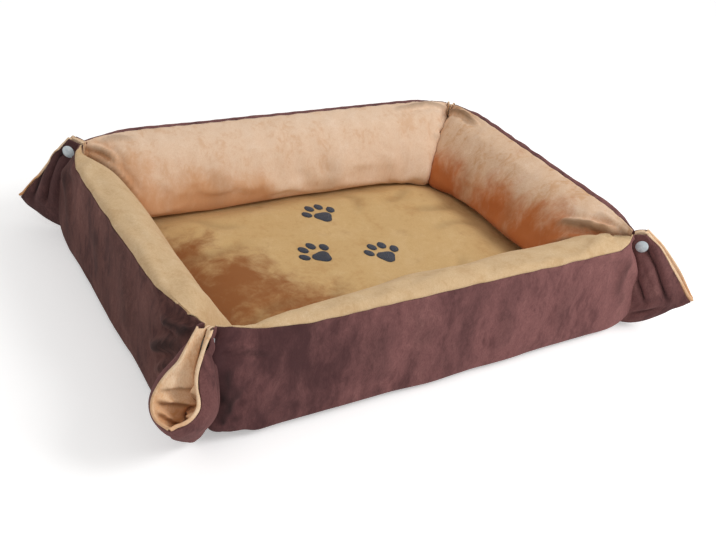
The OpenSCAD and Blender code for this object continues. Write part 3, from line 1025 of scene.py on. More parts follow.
@dataclass
class WallCushion:
    """One stuffed wall, drawn as the front wall and turned to its side.

    The section is drawn from the fold seam, out from the bed and up. The cover and the lining both run
    from the fold seam to the rim seam. low is the end at negative x in the front wall's frame, and high
    the other. thin lists places along the wall and the share of the full bulge that the top of the inner
    face has there, and stout the same for its foot. hill, seed and unevenness are the width, the pattern
    and the height of the filling's soft hills. end_round, rim_round and taper_round are the powers that
    shape the ends of the outer face, the rim and the inner face, and crowd is how much closer together
    the sections stand there. band is the number of grid lines at a top seam that are held at least as
    firmly as firm, and rim_hold is the hold of the rim itself.
    """

    side: Side
    sizes: BedSizes = BED
    rim_out: float = 19.0
    rim_up: float = 90.0
    wall_in: float = 52.0
    rise: float = 96.5
    low: WallEnd = WallEnd()
    high: WallEnd = WallEnd()
    thin: tuple[tuple[float, float], ...] = ((-250.0, 1.0), (250.0, 1.0))
    stout: tuple[tuple[float, float], ...] = ((-250.0, 1.0), (250.0, 1.0))
    creases: tuple[Crease, ...] = ()
    cells: int = 38
    pitch: float = 4.2
    cloth: float = 1.6
    unevenness: float = 0.9
    hill: float = 58.0
    seed: int = 11
    end_round: float = 0.6
    rim_round: float = 2.0
    taper_round: float = 2.2
    crowd: float = 0.8
    firm: float = 0.6
    band: int = 8
    rim_hold: float = 0.55
    floor_gap: float = 0.4
    corner_gap: float = 0.4
    pad_gap: float = 0.3
    filling: Inflation = Inflation(4.0, 20, 4.5, 0.03)

    @property
    def halves(self) -> tuple[float, float]:
        """Half the bed's size along this wall and across it."""
        both = (self.sizes.half_l, self.sizes.half_d)
        return both if self.side in (Side.FRONT, Side.BACK) else both[::-1]

    @property
    def half(self) -> float:
        """Half the wall's length."""
        return self.halves[0]

    @property
    def away(self) -> float:
        """Distance of the fold seam from the bed's middle."""
        return self.halves[1]

    @property
    def top_seam(self) -> bool:
        """Whether the rim seam lies on the wall's top and not on its outer face."""
        return self.rim_out < 10

    def outer_section(self) -> Array:
        """The cover's section, from the fold seam round the bead to the rim.

        Returns:
            Points (out, up) from the fold seam.
        """
        low = [(0, 0), (3, -10), (9, -19), (17, -23.5), (24, -20), (27.5, -12), (28.5, 0), (28, 14), (27, 32)]
        out = 24.5
        climb = [(mix(out, self.rim_out, 0.22), 80.8), (mix(out, self.rim_out, 0.6), 87.4)]
        if self.top_seam:
            climb = [(22, 83), (17, 92.5), (10, 98.0)]
        return spline(low + [(25.5, 52), (out, 68)] + climb + [(self.rim_out, self.rim_up)], self.cells + 1)

    def inner_section(self) -> Array:
        """The lining's section, from the fold seam over the pad and round to the rim.

        Returns:
            Points (out, up) from the fold seam.
        """
        shares = (
            (0, 0), (-0.42, 0.036), (-0.84, 0.07), (-1.0, 0.15), (-1.05, 0.27), (-1.02, 0.42),
            (-0.91, 0.6), (-0.71, 0.78), (-0.42, 0.93), (-0.06, 1.0),
        )
        body = [(a * self.wall_in, b * self.rise) for a, b in shares]
        if not self.top_seam:
            body.append((self.rim_out - 6.5, mix(self.rise, self.rim_up, 0.25)))
        return spline(body + [(self.rim_out, self.rim_up)], self.cells + 1)

    def stations(self) -> Array:
        """Places of the sections along the wall.

        Returns:
            Distances from the wall's middle, rising.
        """
        reach = self.half - self.sizes.end_inset
        u = np.linspace(-1, 1, (int(round(reach / self.pitch)) | 1) + 1)
        return reach * mix(u, np.sin(0.5 * math.pi * u), self.crowd)

    def end_values(self, x: Array, name: str) -> Array:
        """One size of the wall's ends, as a column with the value that holds at each station."""
        return np.where(x < 0, getattr(self.low, name), getattr(self.high, name))[:, None]

    def drawn(self, section: Array, fat: Array) -> Array:
        """A section at every station.

        Args:
            section: The full section.
            fat: How full it is, 0 to 1, by station and by place on the section.

        Returns:
            A grid of (out, up) from the fold seam.
        """
        t = np.linspace(0, 1, self.cells + 1)
        line = np.stack([np.zeros_like(t), (self.sizes.corner - self.sizes.fold) * t ** 1.5], -1)
        return line[None] + (section - line)[None] * fat[..., None]

    def cover_face(self, x: Array, s: Array, t: Array, rim: Array) -> Array:
        """The cover's grid.

        Args:
            x: The stations.
            s: Distance of each from the wall's end.
            t: Shares along the section.
            rim: How full the section is at the rim.

        Returns:
            Points in the front wall's frame, one row for each station.
        """
        blunt, shoulder = self.end_values(x, "blunt"), self.end_values(x, "shoulder")
        turn = 0.5 * math.pi * np.clip(s / blunt, 0, 1)
        fat = mix(np.sin(turn) ** self.end_round, rim, ramp((t - shoulder) / (1 - shoulder), 0, 1))
        path = self.drawn(self.outer_section(), fat)
        fold = self.sizes.fold
        high = path[..., 1] + fold
        cap = np.where(s < blunt, s - blunt + blunt * np.cos(turn) ** self.end_round, 0.0)
        low_share = np.interp(high, [0, 12, 25, 48, 72, 92], [0.3, 0.75, 1.0, 1.0, 0.55, 0.0])
        low_share = low_share * self.end_values(x, "low_swell")
        high_share = self.end_values(x, "high_swell") * ramp(high, 30, 84)
        swell = self.end_values(x, "swell") * np.sin(2 * turn) * np.maximum(low_share, high_share)
        raised = 1 - self.end_values(x, "foot") * (1 - ramp(s, 16, 40))
        high = np.where(high < fold, fold + (high - fold) * raised, high)
        window = ramp(t, 0, 0.12) * ramp((1 - t) / self.end_values(x, "fade"), 0, 1)
        along = x[:, None] + np.sign(x)[:, None] * (cap + swell) * window
        return np.stack([along, -self.away - path[..., 0], high], -1)

    def lining_face(self, x: Array, s: Array, t: Array, rim: Array) -> Array:
        """The lining's grid.

        Args:
            x: The stations.
            s: Distance of each from the wall's end.
            t: Shares along the section.
            rim: How full the section is at the rim.

        Returns:
            Points in the front wall's frame, one row for each station.
        """
        body = 1 - (1 - np.clip(s / self.end_values(x, "taper"), 0, 1)) ** self.taper_round
        path = self.drawn(self.inner_section(), mix(body, rim, ramp(t, 0.85, 1.0)))
        out, high = path[..., 0], path[..., 1] + self.sizes.fold
        stout, thin = (np.interp(x, *np.array(table).T)[:, None] for table in (self.stout, self.thin))
        deep = np.where(out < 0, out * mix(stout + 0 * high, thin, ramp(high, 48, 98)), out)
        return np.stack([np.broadcast_to(x[:, None], deep.shape), -self.away - deep, high], -1)

    def sewn(self, rows: int, cols: int, border: Array) -> Array:
        """How firmly the seams hold each vertex while the wall is filled.

        Args:
            rows: How many stations the grids have.
            cols: How many points a section has.
            border: For each point of a grid whether it is on the border.

        Returns:
            A number for each vertex, 0 for free to 1 for fixed.
        """
        firm, band = self.firm, self.band
        seam = np.zeros((rows, cols))
        seam[:, 0] = 1.0
        seam[[0, -1]] = 1.0
        seam[:, -1] = self.rim_hold
        if self.top_seam:
            seam[:, -band:] = np.maximum(seam[:, -band:], firm)
        back = np.where(seam[:, -band:1 - band] >= firm, np.linspace(-1, 1.4, cols)[None], 0)
        return np.r_[seam.ravel(), back.ravel()[~border].clip(0, firm)]

    def build(self) -> None:
        """Makes, fills, splits and dresses the wall."""
        x = self.stations()
        s = (self.half - self.sizes.end_inset - np.abs(x))[:, None]
        t = np.linspace(0, 1, self.cells + 1)[None]
        rim = 1 - (1 - np.clip(s / self.end_values(x, "rim"), 0, 1)) ** self.rim_round
        faces = (self.cover_face(x, s, t, rim), self.lining_face(x, s, t, rim))
        form, border = cushion_form(f"{self.side.label}_form", *faces)
        self.filling.run(form, self.sewn(len(x), self.cells + 1, border))
        self.soften(form)
        refine(form)
        self.fold(form)
        self.finish(form)

    def soften(self, form: bpy.types.Object) -> None:
        """Makes the stuffing a little uneven and turns the wall to its side.

        Args:
            form: The wall's form.
        """
        points = vertices_of(form)
        reach = self.half - np.abs(points[:, 0])
        calm = ramp(reach, self.sizes.end_inset, 30.0) * ramp(np.abs(points[:, 2] - self.sizes.fold), 0, 12)
        if self.top_seam:
            calm = calm * (1 - 0.9 * ramp(points[:, 2], 98, 114))
        wave = soft_noise(points, self.hill, self.seed + len(self.side.label))
        points = points + normals_of(form) * (self.unevenness * wave * calm)[:, None]
        set_vertices(form, turned(points, self.side.turn))
        self.rest(form)

    def fold(self, form: bpy.types.Object) -> None:
        """Presses the wall's folds into the fine mesh.

        Args:
            form: The wall's form.
        """
        points = turned(vertices_of(form), -self.side.turn)
        reach = self.half - np.abs(points[:, 0])
        rim = points[self.cells: len(self.stations()) * (self.cells + 1): self.cells + 1]
        gap = np.min([np.linalg.norm(points - p, axis=1) for p in rim], axis=0)
        off_seam = ramp(np.abs(points[:, 2] - self.sizes.fold), 0, 8)
        press(form, self.creases, ramp(reach, 3.0, 10.0) * off_seam * ramp(gap, 1.5, 6.0))
        self.rest(form)

    def rest(self, form: bpy.types.Object) -> None:
        """Keeps the wall off the floor and the pad, and on its own side of the corners.

        Args:
            form: The wall's form.
        """
        points = turned(vertices_of(form), -self.side.turn)
        in_from_fold = points[:, 1] + self.away
        from_end = self.half - np.abs(points[:, 0])
        over = np.where(points[:, 0] < 0, self.low.over, self.high.over)
        over = over * ramp(from_end, self.sizes.end_inset, 20.0)
        limit = np.maximum(from_end - self.corner_gap + over * ramp(points[:, 2], 45, 80), 0.0)
        inside = in_from_fold > limit
        points[inside, 1] = limit[inside] - self.away
        frame = turned(points, self.side.turn)
        pad = self.sizes.pad_height(frame[:, 0], frame[:, 1]) + self.pad_gap
        sunk = (in_from_fold > 1.0) & (points[:, 2] < pad) & (points[:, 2] > self.sizes.fold - 0.5)
        frame[sunk, 2] = pad[sunk]
        frame[:, 2] = np.maximum(frame[:, 2], self.floor_gap)
        set_vertices(form, frame)

    def finish(self, form: bpy.types.Object) -> None:
        """Splits the filled form at its seams and dresses the two cloths.

        Args:
            form: The wall's form.
        """
        label = self.side.label
        cover = part_of(form, f"{label}_wall_cover_plush", 0)
        lining = part_of(form, f"{label}_wall_lining_plush", 1)
        bpy.data.objects.remove(form)
        # Painted light: the front cover gets the brown painted lighter, the left cover the brown painted
        # darker, and the linings copies of the tan that differ partly by painted light.
        inside = {Side.BACK: BACK_TAN, Side.RIGHT: RIGHT_TAN}.get(self.side, BAND_TAN)
        outside = {Side.FRONT: LIT_FRONT_BROWN, Side.LEFT: SHADED_LEFT_BROWN}.get(self.side, BROWN)
        for obj, finish in ((cover, outside), (lining, inside)):
            clothe(obj, self.cloth, finish)
            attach(obj, f"{label}_wall")
        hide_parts(f"{label}_wall_cover")
        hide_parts(f"{label}_wall_lining", f"{label}_wall_filling")
        LOG.info("%s wall: %d and %d faces", label, len(cover.data.polygons), len(lining.data.polygons))


# Ears


class Corner(Enum):
    """A corner: its turn, and the walls that own its near and far ear halves."""

    FRONT_LEFT = (225, "left_wall_front", "front_wall_left")
    FRONT_RIGHT = (315, "front_wall_right", "right_wall_front")
    BACK_RIGHT = (45, "right_wall_back", "back_wall_right")
    BACK_LEFT = (135, "back_wall_left", "left_wall_back")

    @property
    def turn(self) -> float:
        """Direction of the ear, in degrees from +X."""
        return self.value[0]

    def half_name(self, far: bool) -> str:
        """Name of one half of the ear."""
        return self.value[2 if far else 1] + "_ear"


@dataclass(frozen=True)
class EarShape:
    """The curves of one ear half: out from the corner, sideways, and up, in mm.

    Sideways is from the ear's middle plane towards the half's own side. free runs from the stud to the
    tip along the open edge, and fold from the base corner to the tip along the closed edge. mouth is the
    share of the lining that flares open at the free edge, from the top down, and touch is how far from
    the middle plane the lining lies behind that. A fold runs down the lining and a tuck across it; both
    are a place, a slope, a width and a depth. lean moves the cover's belly towards the open edge, and a
    smaller fullness makes it rounder. A pinch is a fold of the cover along places (out, up), with a width
    and a depth, and a puff a round swelling at a place (out, up), with a width and a height. root is how
    far out the top begins, and top_drop how far the cover's top lies below the lining's.
    """

    free: tuple[tuple[float, float, float], ...]
    fold: tuple[tuple[float, float, float], ...]
    belly: float = 12.0
    pleats: tuple[tuple[float, float, float], ...] = ()
    mouth: tuple[float, ...] = (0.2, 0.25, 0.3, 0.3, 0.3)
    touch: float = 0.7
    folds: tuple[tuple[float, float, float, float], ...] = ()
    tucks: tuple[tuple[float, float, float, float], ...] = ()
    lean: float = 0.9
    fullness: float = 0.85
    pinches: tuple[tuple[tuple[tuple[float, float], ...], float, float], ...] = ()
    puffs: tuple[tuple[float, float, float, float], ...] = ()
    root: float = -1.9
    top_drop: float = 0.0
    # dark gives the cover a shaded copy of the brown: painted shade for a half that lies in shadow.
    dark: bool = False


@dataclass
class EarHalf:
    """One half of a corner ear: a brown cover and a tan lining, sewn along the open edge.

    A grid of the half holds (out, sideways, up), by row from the stud down to the closed edge and by
    column from the wall to the open edge. across and down are the shares of the way along both. square is
    the side of the flat corner cloth, closed how far the closed edge lies from the middle plane, and the
    three shades are the depths of a pinch, a pleat and a tuck that get the full shade. Each seat is the
    distances from the stud's axis where a form begins to leave the stud's flat seat and where it is full.
    tuck_pivot is the share across about which a tuck slopes, apart the least gap between the cloths, and
    least the least distance of the cover from the middle plane. The cover thins to its edge from the
    share thin_from on, and roll is how far its closed edge is rolled, as a share of its distance from the
    middle plane. The lining's lip lies lip_gap off the cover's edge, sinks by lip_sink and is lip wide.
    """

    corner: Corner
    far: bool
    shape: EarShape
    sizes: BedSizes = BED
    columns: int = 40
    rows: int = 56
    thickness: float = 4.6
    edge_thickness: float = 2.6
    cloth: float = 1.7
    snap_half: float = 2.3
    stud: tuple[float, float] = (9.0, 107.5)
    square: float = 115.0
    closed: float = 0.6
    floor_gap: float = 0.35
    pinch_shade: float = 5.0
    pleat_shade: float = 8.0
    tuck_shade: float = 7.0
    lining_seat: tuple[float, float] = (6.2, 10.0)
    cover_seat: tuple[float, float] = (7.5, 16.0)
    puff_seat: tuple[float, float] = (7.0, 10.0)
    tuck_pivot: float = 0.8
    apart: float = 0.2
    least: float = 1.2
    thin_from: float = 0.84
    roll: float = 0.7
    lip: float = 1.6
    lip_gap: float = 0.25
    lip_sink: float = 0.1

    def places(self) -> tuple[Array, Array, Array]:
        """The half's plain surface, and its two shares.

        Returns:
            The grid, the share across and the share down.
        """
        root, tip = self.shape.root, self.shape.free[0]
        wall = spline([(root, 1.2, 120), (0.6 * root, 1.8, 98), (-0.6, 2.0, 72), (1.0, 1.6, 25)], self.rows)
        free = spline(self.shape.free, self.rows)
        top = spline([(root, 1.2, 120), (4.5, 2.3, min(123.0, tip[2] + 1)), tip], self.columns)
        fold = spline(self.shape.fold, self.columns)
        across = np.linspace(0, 1, self.columns)[None, :, None]
        down = np.linspace(0, 1, self.rows)[:, None, None]
        grid = (1 - across) * wall[:, None] + across * free[:, None]
        grid = grid + (1 - down) * top[None] + down * fold[None]
        corners = (1 - across) * (1 - down) * top[0] + across * (1 - down) * top[-1]
        grid = grid - corners - (1 - across) * down * fold[0] - across * down * fold[-1]
        return grid, across[..., 0] + 0 * down[..., 0], down[..., 0] + 0 * across[..., 0]

    def from_stud(self, grid: Array) -> Array:
        """Distance of each place from the stud's axis."""
        return np.hypot(grid[..., 0] - self.stud[0], grid[..., 2] - self.stud[1])

    def pinched(self, grid: Array) -> list[Array]:
        """How far each pinch of the cover moves each place sideways.

        Args:
            grid: The half's plain surface.

        Returns:
            One array for each pinch.
        """
        flat = np.stack([grid[..., 0], grid[..., 2], 0 * grid[..., 0]], -1).reshape(-1, 3)
        moves = []
        for path, width, depth in self.shape.pinches:
            pinch = Crease(tuple((out, up, 0.0) for out, up in path), width, depth)
            moves.append(pinch.push(flat).reshape(grid.shape[:2]))
        return moves

    @staticmethod
    def pleated(across: Array, down: Array, place: float, width: float) -> Array:
        """How much of a pleat there is at each share, 0 to 1."""
        fade = np.sin(math.pi * np.clip((down - 0.05) / 0.85, 0, 1)) ** 0.8
        return bump(across, place + 0.1 * (0.5 - down), width) * fade

    def cover_shade(self) -> Array:
        """How deep in a fold the cover lies, 0 to 1.

        Returns:
            One number for each place of the grid.
        """
        grid, across, down = self.places()
        deep = -sum(self.pinched(grid), np.zeros(across.shape)) / self.pinch_shade
        for place, width, depth in self.shape.pleats:
            deep += depth / self.pleat_shade * self.pleated(across, down, place, 0.7 * width)
        return deep

    def lining_shade(self) -> Array:
        """How deep in a fold the lining lies, 0 to 1.

        Returns:
            One number for each place of the grid.
        """
        _, across, down = self.places()
        deep = np.zeros(across.shape)
        for place, slope, _, size in self.shape.tucks:
            at = down - place - slope * (across - self.tuck_pivot)
            line = ramp(at, -0.012, 0.004) * (1 - ramp(at, 0.004, 0.06))
            line = line * ramp(across, 0.45, 0.7) * ramp(1 - across, 0.0, 0.08)
            deep += min(size / self.tuck_shade, 1.0) * line
        return deep

    def lining_face(self) -> Array:
        """The lining's face: closed against the other half, and flared open like a lapel at the free edge.

        Returns:
            The grid.
        """
        grid, across, down = self.places()
        width = np.interp(down, np.linspace(0, 1, len(self.shape.mouth)), self.shape.mouth)
        flare = ramp(across, 1 - width, 1.0) ** 1.2
        side = mix(np.full_like(across, self.shape.touch), grid[:, -1:, 1] + 0 * across, flare)
        bowl = np.sin(math.pi * np.clip((down - 0.12) / 0.86, 0, 1))
        for place, slope, wide, deep in self.shape.folds:
            at = place + slope * (down - 0.6)
            side = side + deep * bump(across, at, wide) * bowl * ramp(1 - across, 0, 0.06)
        for place, slope, wide, deep in self.shape.tucks:
            at = down - place - slope * (across - self.tuck_pivot)
            step = ramp(at, -wide, 0.0) * (1 - ramp(at, 0.0, 0.22 * wide))
            side = side - deep * step * ramp(across, 0.35, 0.6) * ramp(1 - across, 0.0, 0.1)
        side = mix(side, np.minimum(side, 0.8), ramp(down, 0.88, 1.0))
        seat = ramp(self.from_stud(grid), *self.lining_seat)
        side = mix(np.maximum(side, self.snap_half), side, seat)
        grid[..., 1] = np.where(down >= 1.0, self.closed, side)
        return grid

    def cover_face(self) -> Array:
        """The inner side of the cover, bellied out and pleated below the stud.

        Returns:
            The grid.
        """
        grid, across, down = self.places()
        hump = np.sin(math.pi * np.clip((down - 0.12) / 0.88, 0, 1)) ** 0.9
        belly = np.sin(math.pi * across**self.shape.lean) ** self.shape.fullness
        side = grid[..., 1] + self.shape.belly * hump * belly
        for place, width, depth in self.shape.pleats:
            side = side - depth * self.pleated(across, down, place, width)
        side = sum(self.pinched(grid), side)
        gap = self.from_stud(grid)
        side = self.snap_half + (side - self.snap_half) * ramp(gap, *self.cover_seat)
        for out, up, width, height in self.shape.puffs:
            far = np.hypot(grid[..., 0] - out, grid[..., 2] - up)
            side = side + height * np.exp(-((far / width) ** 2)) * ramp(gap, *self.puff_seat)
        least = np.maximum(self.lining_face()[..., 1] + self.apart, self.least)
        least = np.where(down > 0.97, self.closed, least)
        side = np.where(across >= 1.0, grid[..., 1], np.maximum(side, least))
        grid[..., 1] = np.where(down >= 1.0, self.closed, side)
        grid[..., 2] -= self.shape.top_drop * (1 - ramp(down, 0.0, 0.07)) * (1 - across**6)
        return grid

    @staticmethod
    def normals(grid: Array) -> Array:
        """Unit normals of a grid, towards the half's own side.

        Args:
            grid: The grid.

        Returns:
            One normal for each place of the grid.
        """
        n = unit(np.cross(np.gradient(grid, axis=1), np.gradient(grid, axis=0)))
        n = n * (np.sign(n[..., 1].sum()) or 1.0)
        for _ in range(3):
            n[1:-1] = (n[:-2] + 2 * n[1:-1] + n[2:]) / 4
            n[:, 1:-1] = (n[:, :-2] + 2 * n[:, 1:-1] + n[:, 2:]) / 4
        return unit(n)

    def placed(self, points: Array) -> Array:
        """Ear points as places in the row frame.

        Args:
            points: Any array of (out, sideways, up).

        Returns:
            One place for each point.
        """
        flat = points.reshape(-1, 3).copy()
        flat[:, 1] *= 1.0 if self.far else -1.0
        c, s = math.cos(math.radians(self.corner.turn)), math.sin(math.radians(self.corner.turn))
        at = np.array([math.copysign(self.sizes.half_l, c), math.copysign(self.sizes.half_d, s)])
        x = at[0] + c * flat[:, 0] - s * flat[:, 1]
        y = at[1] + s * flat[:, 0] + c * flat[:, 1]
        return np.stack([x, y, np.maximum(flat[:, 2], self.floor_gap)], -1)

    def cover_grid(self, inner: Array, n: Array) -> Array:
        """The cover's outer face, rolled round the closed edge to the ear's middle plane.

        Args:
            inner: The cover's inner face.
            n: Its normals.

        Returns:
            The grid, with four rows more and one column less.
        """
        thin = ramp(np.linspace(0, 1, self.columns), self.thin_from, 1.0)
        outer = inner + n * mix(self.thickness, self.edge_thickness, thin)[None, :, None]
        keep = outer[:, :-1]
        last = keep[-1]
        along = np.gradient(inner[-1, :-1], axis=0)
        along[:, 1] = 0
        along = unit(along)
        down = np.stack([along[:, 2], np.zeros(len(along)), -along[:, 0]], -1)
        rows = [keep]
        for angle in (22.5, 45.0, 67.5, 90.0):
            g = math.radians(angle)
            rolled = down * (last[:, 1:2] * math.sin(g) * self.roll)
            rows.append((last * (1, math.cos(g), 1) + rolled)[None])
        return np.vstack(rows)

    def lining_grid(self, face: Array, inner: Array, n: Array) -> Array:
        """The lining's face, rolled over the open edge as a narrow lip on the cover.

        Args:
            face: The lining's face.
            inner: The cover's inner face.
            n: Normals of the cover's inner face.

        Returns:
            The grid, with six columns more.
        """
        edge, out = face[:, -1], n[:, -1]
        away = inner[:, -1] - inner[:, -3]
        away -= out * (away * out).sum(-1, keepdims=True)
        away = unit(away)
        half = self.edge_thickness / 2 + self.lip_gap
        columns = [face]
        for angle in range(36, 181, 36):
            g = math.radians(angle)
            step = out * half * (1 - math.cos(g)) + away * half * math.sin(g)
            columns.append((edge + step)[:, None])
        columns.append((edge + out * (2 * half - self.lip_sink) - away * self.lip)[:, None])
        return np.concatenate(columns, axis=1)

    def build(self) -> None:
        """Makes and dresses the cover and the lining of this half."""
        face, inner = self.lining_face(), self.cover_face()
        n = self.normals(inner)
        name = self.corner.half_name(self.far)
        # A half in shadow gets the brown painted darker, as painted shade.
        brown = SHADED_BROWN if self.shape.dark else BROWN
        cover, lining = self.cover_grid(inner, n), self.lining_grid(face, inner, n)
        pieces = (
            ("cover", cover, self.cover_shade()[:, :-1], "edge", 5.0, brown, "brown_plush"),
            ("lining", lining, self.lining_shade(), "constant", -5.0, EAR_TAN, "tan_plush"),
        )
        for what, grid, deep, spread, side, finish, slot in pieces:
            obj = make_object(f"{name}_{what}_plush", self.placed(grid), grid_faces(*grid.shape[:2]))
            spare = [(0, more - had) for more, had in zip(grid.shape, deep.shape)]
            shade_folds(obj, np.pad(deep, spare, mode=spread))
            want = self.placed(inner + (0, side, 0)).mean(axis=0) - self.placed(inner).mean(axis=0)
            if float((normals_of(obj).mean(axis=0) * want).sum()) < 0:
                obj.data.flip_normals()
            refine(obj)
            clothe(obj, self.cloth, finish)
            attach(obj, name)
            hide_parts(f"{name}_{what}")
        LOG.info("%s: cover and lining made", name)


FRONT_LEFT_NEAR = EarShape(
    free=(
        (12, 3.0, 124.5), (21, 5, 117.5), (30, 6, 111.5), (37, 8.5, 104), (45, 14.5, 95.5), (52, 18.5, 87),
        (60, 19.5, 79.5), (66, 16.5, 73), (70, 10.5, 69.5), (72.5, 4.5, 68.5), (73.5, 0.8, 69.5),
    ),
    fold=(
        (1, 0.6, 25), (8, 0.6, 13), (18, 0.6, 12), (30, 0.6, 22), (45, 0.6, 36), (60, 0.6, 51), (69, 0.6, 62),
        (73.5, 0.8, 69.5),
    ),
    belly=11.0,
    lean=1.4,
    fullness=0.75,
    pleats=((0.3, 0.10, 4.0),),
    mouth=(0.3, 0.26, 0.3, 0.55, 0.6, 0.5),
    touch=-1.2,
    folds=((0.78, -0.25, 0.07, 3.5), (0.62, 0.2, 0.06, -4.0)),
    tucks=((0.55, 0.25, 0.14, 5.0), (0.68, 0.1, 0.10, 8.0), (0.82, -0.2, 0.1, 6.0)),
)
FRONT_LEFT_FAR = EarShape(
    free=(
        (12, 5.6, 125.5), (21, 6.6, 119), (30, 5.4, 110), (36, 5.2, 98), (41, 7.5, 88), (45, 11, 80),
        (51, 13, 74.5), (60, 11, 71.5), (68, 5.5, 69.5), (72, 2.2, 68.5), (73.5, 0.8, 69.5),
    ),
    fold=FRONT_LEFT_NEAR.fold,
    belly=14.0,
    lean=1.2,
    fullness=0.8,
    pleats=((0.3, 0.10, 5.0), (0.58, 0.08, 4.0)),
    puffs=((19, 114.5, 6.0, 4.5),),
    mouth=(0.3, 0.26, 0.26, 0.5, 0.6, 0.5),
    touch=2.4,
    folds=((0.74, 0.3, 0.07, 2.5), (0.58, -0.2, 0.06, -3.0)),
    tucks=((0.6, -0.2, 0.12, 6.0), (0.78, 0.15, 0.1, 7.0)),
)
FRONT_RIGHT_NEAR = EarShape(
    free=(
        (11, 2.6, 123), (28, 3.4, 109.5), (43, 4.4, 94.5), (61, 4.4, 76.5), (75, 2.6, 61), (82.5, 0.8, 54.5),
    ),
    fold=(
        (1, 0.6, 25), (8, 0.6, 10), (22, 0.6, 9), (37, 0.6, 16), (54, 0.6, 31), (62, 0.6, 40), (75, 0.6, 49),
        (82.5, 0.8, 54.5),
    ),
    belly=10.0,
    pinches=(
        (((0, 101), (4, 90), (11, 78), (23, 60), (32, 44)), 3.6, 8.0),
        (((15, 107), (21, 99), (29, 90), (43, 68), (52, 54)), 4.2, 8.5),
        (((20, 22), (34, 30), (50, 40)), 4.0, 3.0),
    ),
    top_drop=2.2,
)
FRONT_RIGHT_FAR = EarShape(
    free=(
        (11, 2.6, 123), (28, 5.0, 110.5), (43, 7.0, 96.5), (61, 7.0, 78.5), (75, 3.8, 62), (82.5, 0.8, 54.5),
    ),
    fold=FRONT_RIGHT_NEAR.fold,
    belly=9.0,
    top_drop=2.2,
    pleats=((0.42, 0.10, 4.0), (0.74, 0.08, 3.0)),
)
BACK_LEFT_FAR = EarShape(
    free=((9, 2.6, 122), (19, 3.4, 110.5), (40, 5.0, 78), (53, 4.5, 59), (68, 2.4, 40), (75, 0.8, 33.5)),
    fold=(
        (1, 0.6, 25), (8, 0.6, 12), (20, 0.6, 10), (39, 0.6, 14.5), (52, 0.6, 21), (64, 0.6, 27),
        (75, 0.8, 33.5),
    ),
    belly=10.0,
    pinches=(
        (((14, 112), (18, 103), (22, 90), (28, 70), (33, 45)), 4.4, 8.0),
        (((30, 96), (35, 84), (43, 62), (54, 38)), 4.8, 8.0),
    ),
    root=-7.0,
    top_drop=2.2,
    dark=True,
)
BACK_LEFT_NEAR = EarShape(
    free=((9, 2.6, 121), (19, 5.0, 109.5), (40, 7.0, 77), (53, 6.5, 58), (68, 3.2, 39), (75, 0.8, 33.5)),
    fold=BACK_LEFT_FAR.fold,
    belly=9.0,
    pleats=((0.38, 0.10, 4.5), (0.7, 0.08, 3.5)),
    root=-7.0,
    top_drop=2.2,
)
BACK_RIGHT_BOTH = EarShape(
    free=(
        (10, 2.2, 114), (18, 3.0, 108), (30, 6, 99), (42, 10, 89), (52, 14, 79), (62, 12, 71), (70, 5, 66),
        (74.5, 0.8, 65),
    ),
    fold=FRONT_LEFT_NEAR.fold,
    belly=12.0,
    pleats=((0.35, 0.10, 4.0), (0.68, 0.09, 4.5)),
    mouth=(0.25, 0.25, 0.3, 0.5, 0.55, 0.5),
    root=-7.5,
    top_drop=2.2,
)


# Stitches and embroidery, made with Geometry Nodes


def thread_tree(name: str, sizes: Sequence[str]) -> tuple[Nodes, bpy.types.NodeOutputs, Socket]:
    """A new Geometry Nodes tree for threads along edges, with its first nodes.

    Args:
        name: The tree's name.
        sizes: Names of the sizes that it takes.

    Returns:
        The tree's node helper, what the tree is given, and the edges as a curve.
    """
    tree = bpy.data.node_groups.new(name, "GeometryNodeTree")
    kinds = {"Geometry": "Geometry", **{size: "Float" for size in sizes}, "Thread": "Material"}
    for label, kind in kinds.items():
        tree.interface.new_socket(label, in_out="INPUT", socket_type=f"NodeSocket{kind}")
    tree.interface.new_socket("Geometry", in_out="OUTPUT", socket_type="NodeSocketGeometry")
    n = Nodes(tree)
    given = n.add("NodeGroupInput").outputs
    return n, given, n.add("GeometryNodeMeshToCurve", {0: given["Geometry"]}).outputs[0]


def end_tree(n: Nodes, shape: Socket, thread: Socket) -> bpy.types.NodeTree:
    """Ends a tree with real geometry in its thread's material.

    Args:
        n: The tree's node helper.
        shape: The geometry.
        thread: The thread's material.

    Returns:
        The finished tree.
    """
    real = n.add("GeometryNodeRealizeInstances", {0: shape}).outputs[0]
    dressed = n.add("GeometryNodeSetMaterial", {"Geometry": real, "Material": thread}).outputs[0]
    n.add("NodeGroupOutput", {0: dressed})
    return n.tree


def run_tree(obj: bpy.types.Object, tree: bpy.types.NodeTree, values: dict[str, object]) -> None:
    """Runs a tree on an object and keeps the result as a plain mesh.

    Args:
        obj: The object that holds the paths.
        tree: The tree.
        values: Values of the named inputs.
    """
    mod = obj.modifiers.new(tree.name, "NODES")
    mod.node_group = tree
    for item in tree.interface.items_tree:
        if item.item_type == "SOCKET" and item.in_out == "INPUT" and item.name in values:
            mod[item.identifier] = values[item.name]
    settle(obj)


def path_object(name: str, paths: Sequence[Array]) -> bpy.types.Object:
    """An object of plain edges along paths.

    Args:
        name: The object's name.
        paths: Runs of points in the row frame, in mm.

    Returns:
        The object.
    """
    points, edges = [], []
    for path in paths:
        start = len(points)
        points.extend((np.asarray(path) * MM).tolist())
        edges.extend((start + i, start + i + 1) for i in range(len(path) - 1))
    mesh = bpy.data.meshes.new(name)
    mesh.from_pydata(points, edges, [])
    return linked(bpy.data.objects.new(name, mesh))


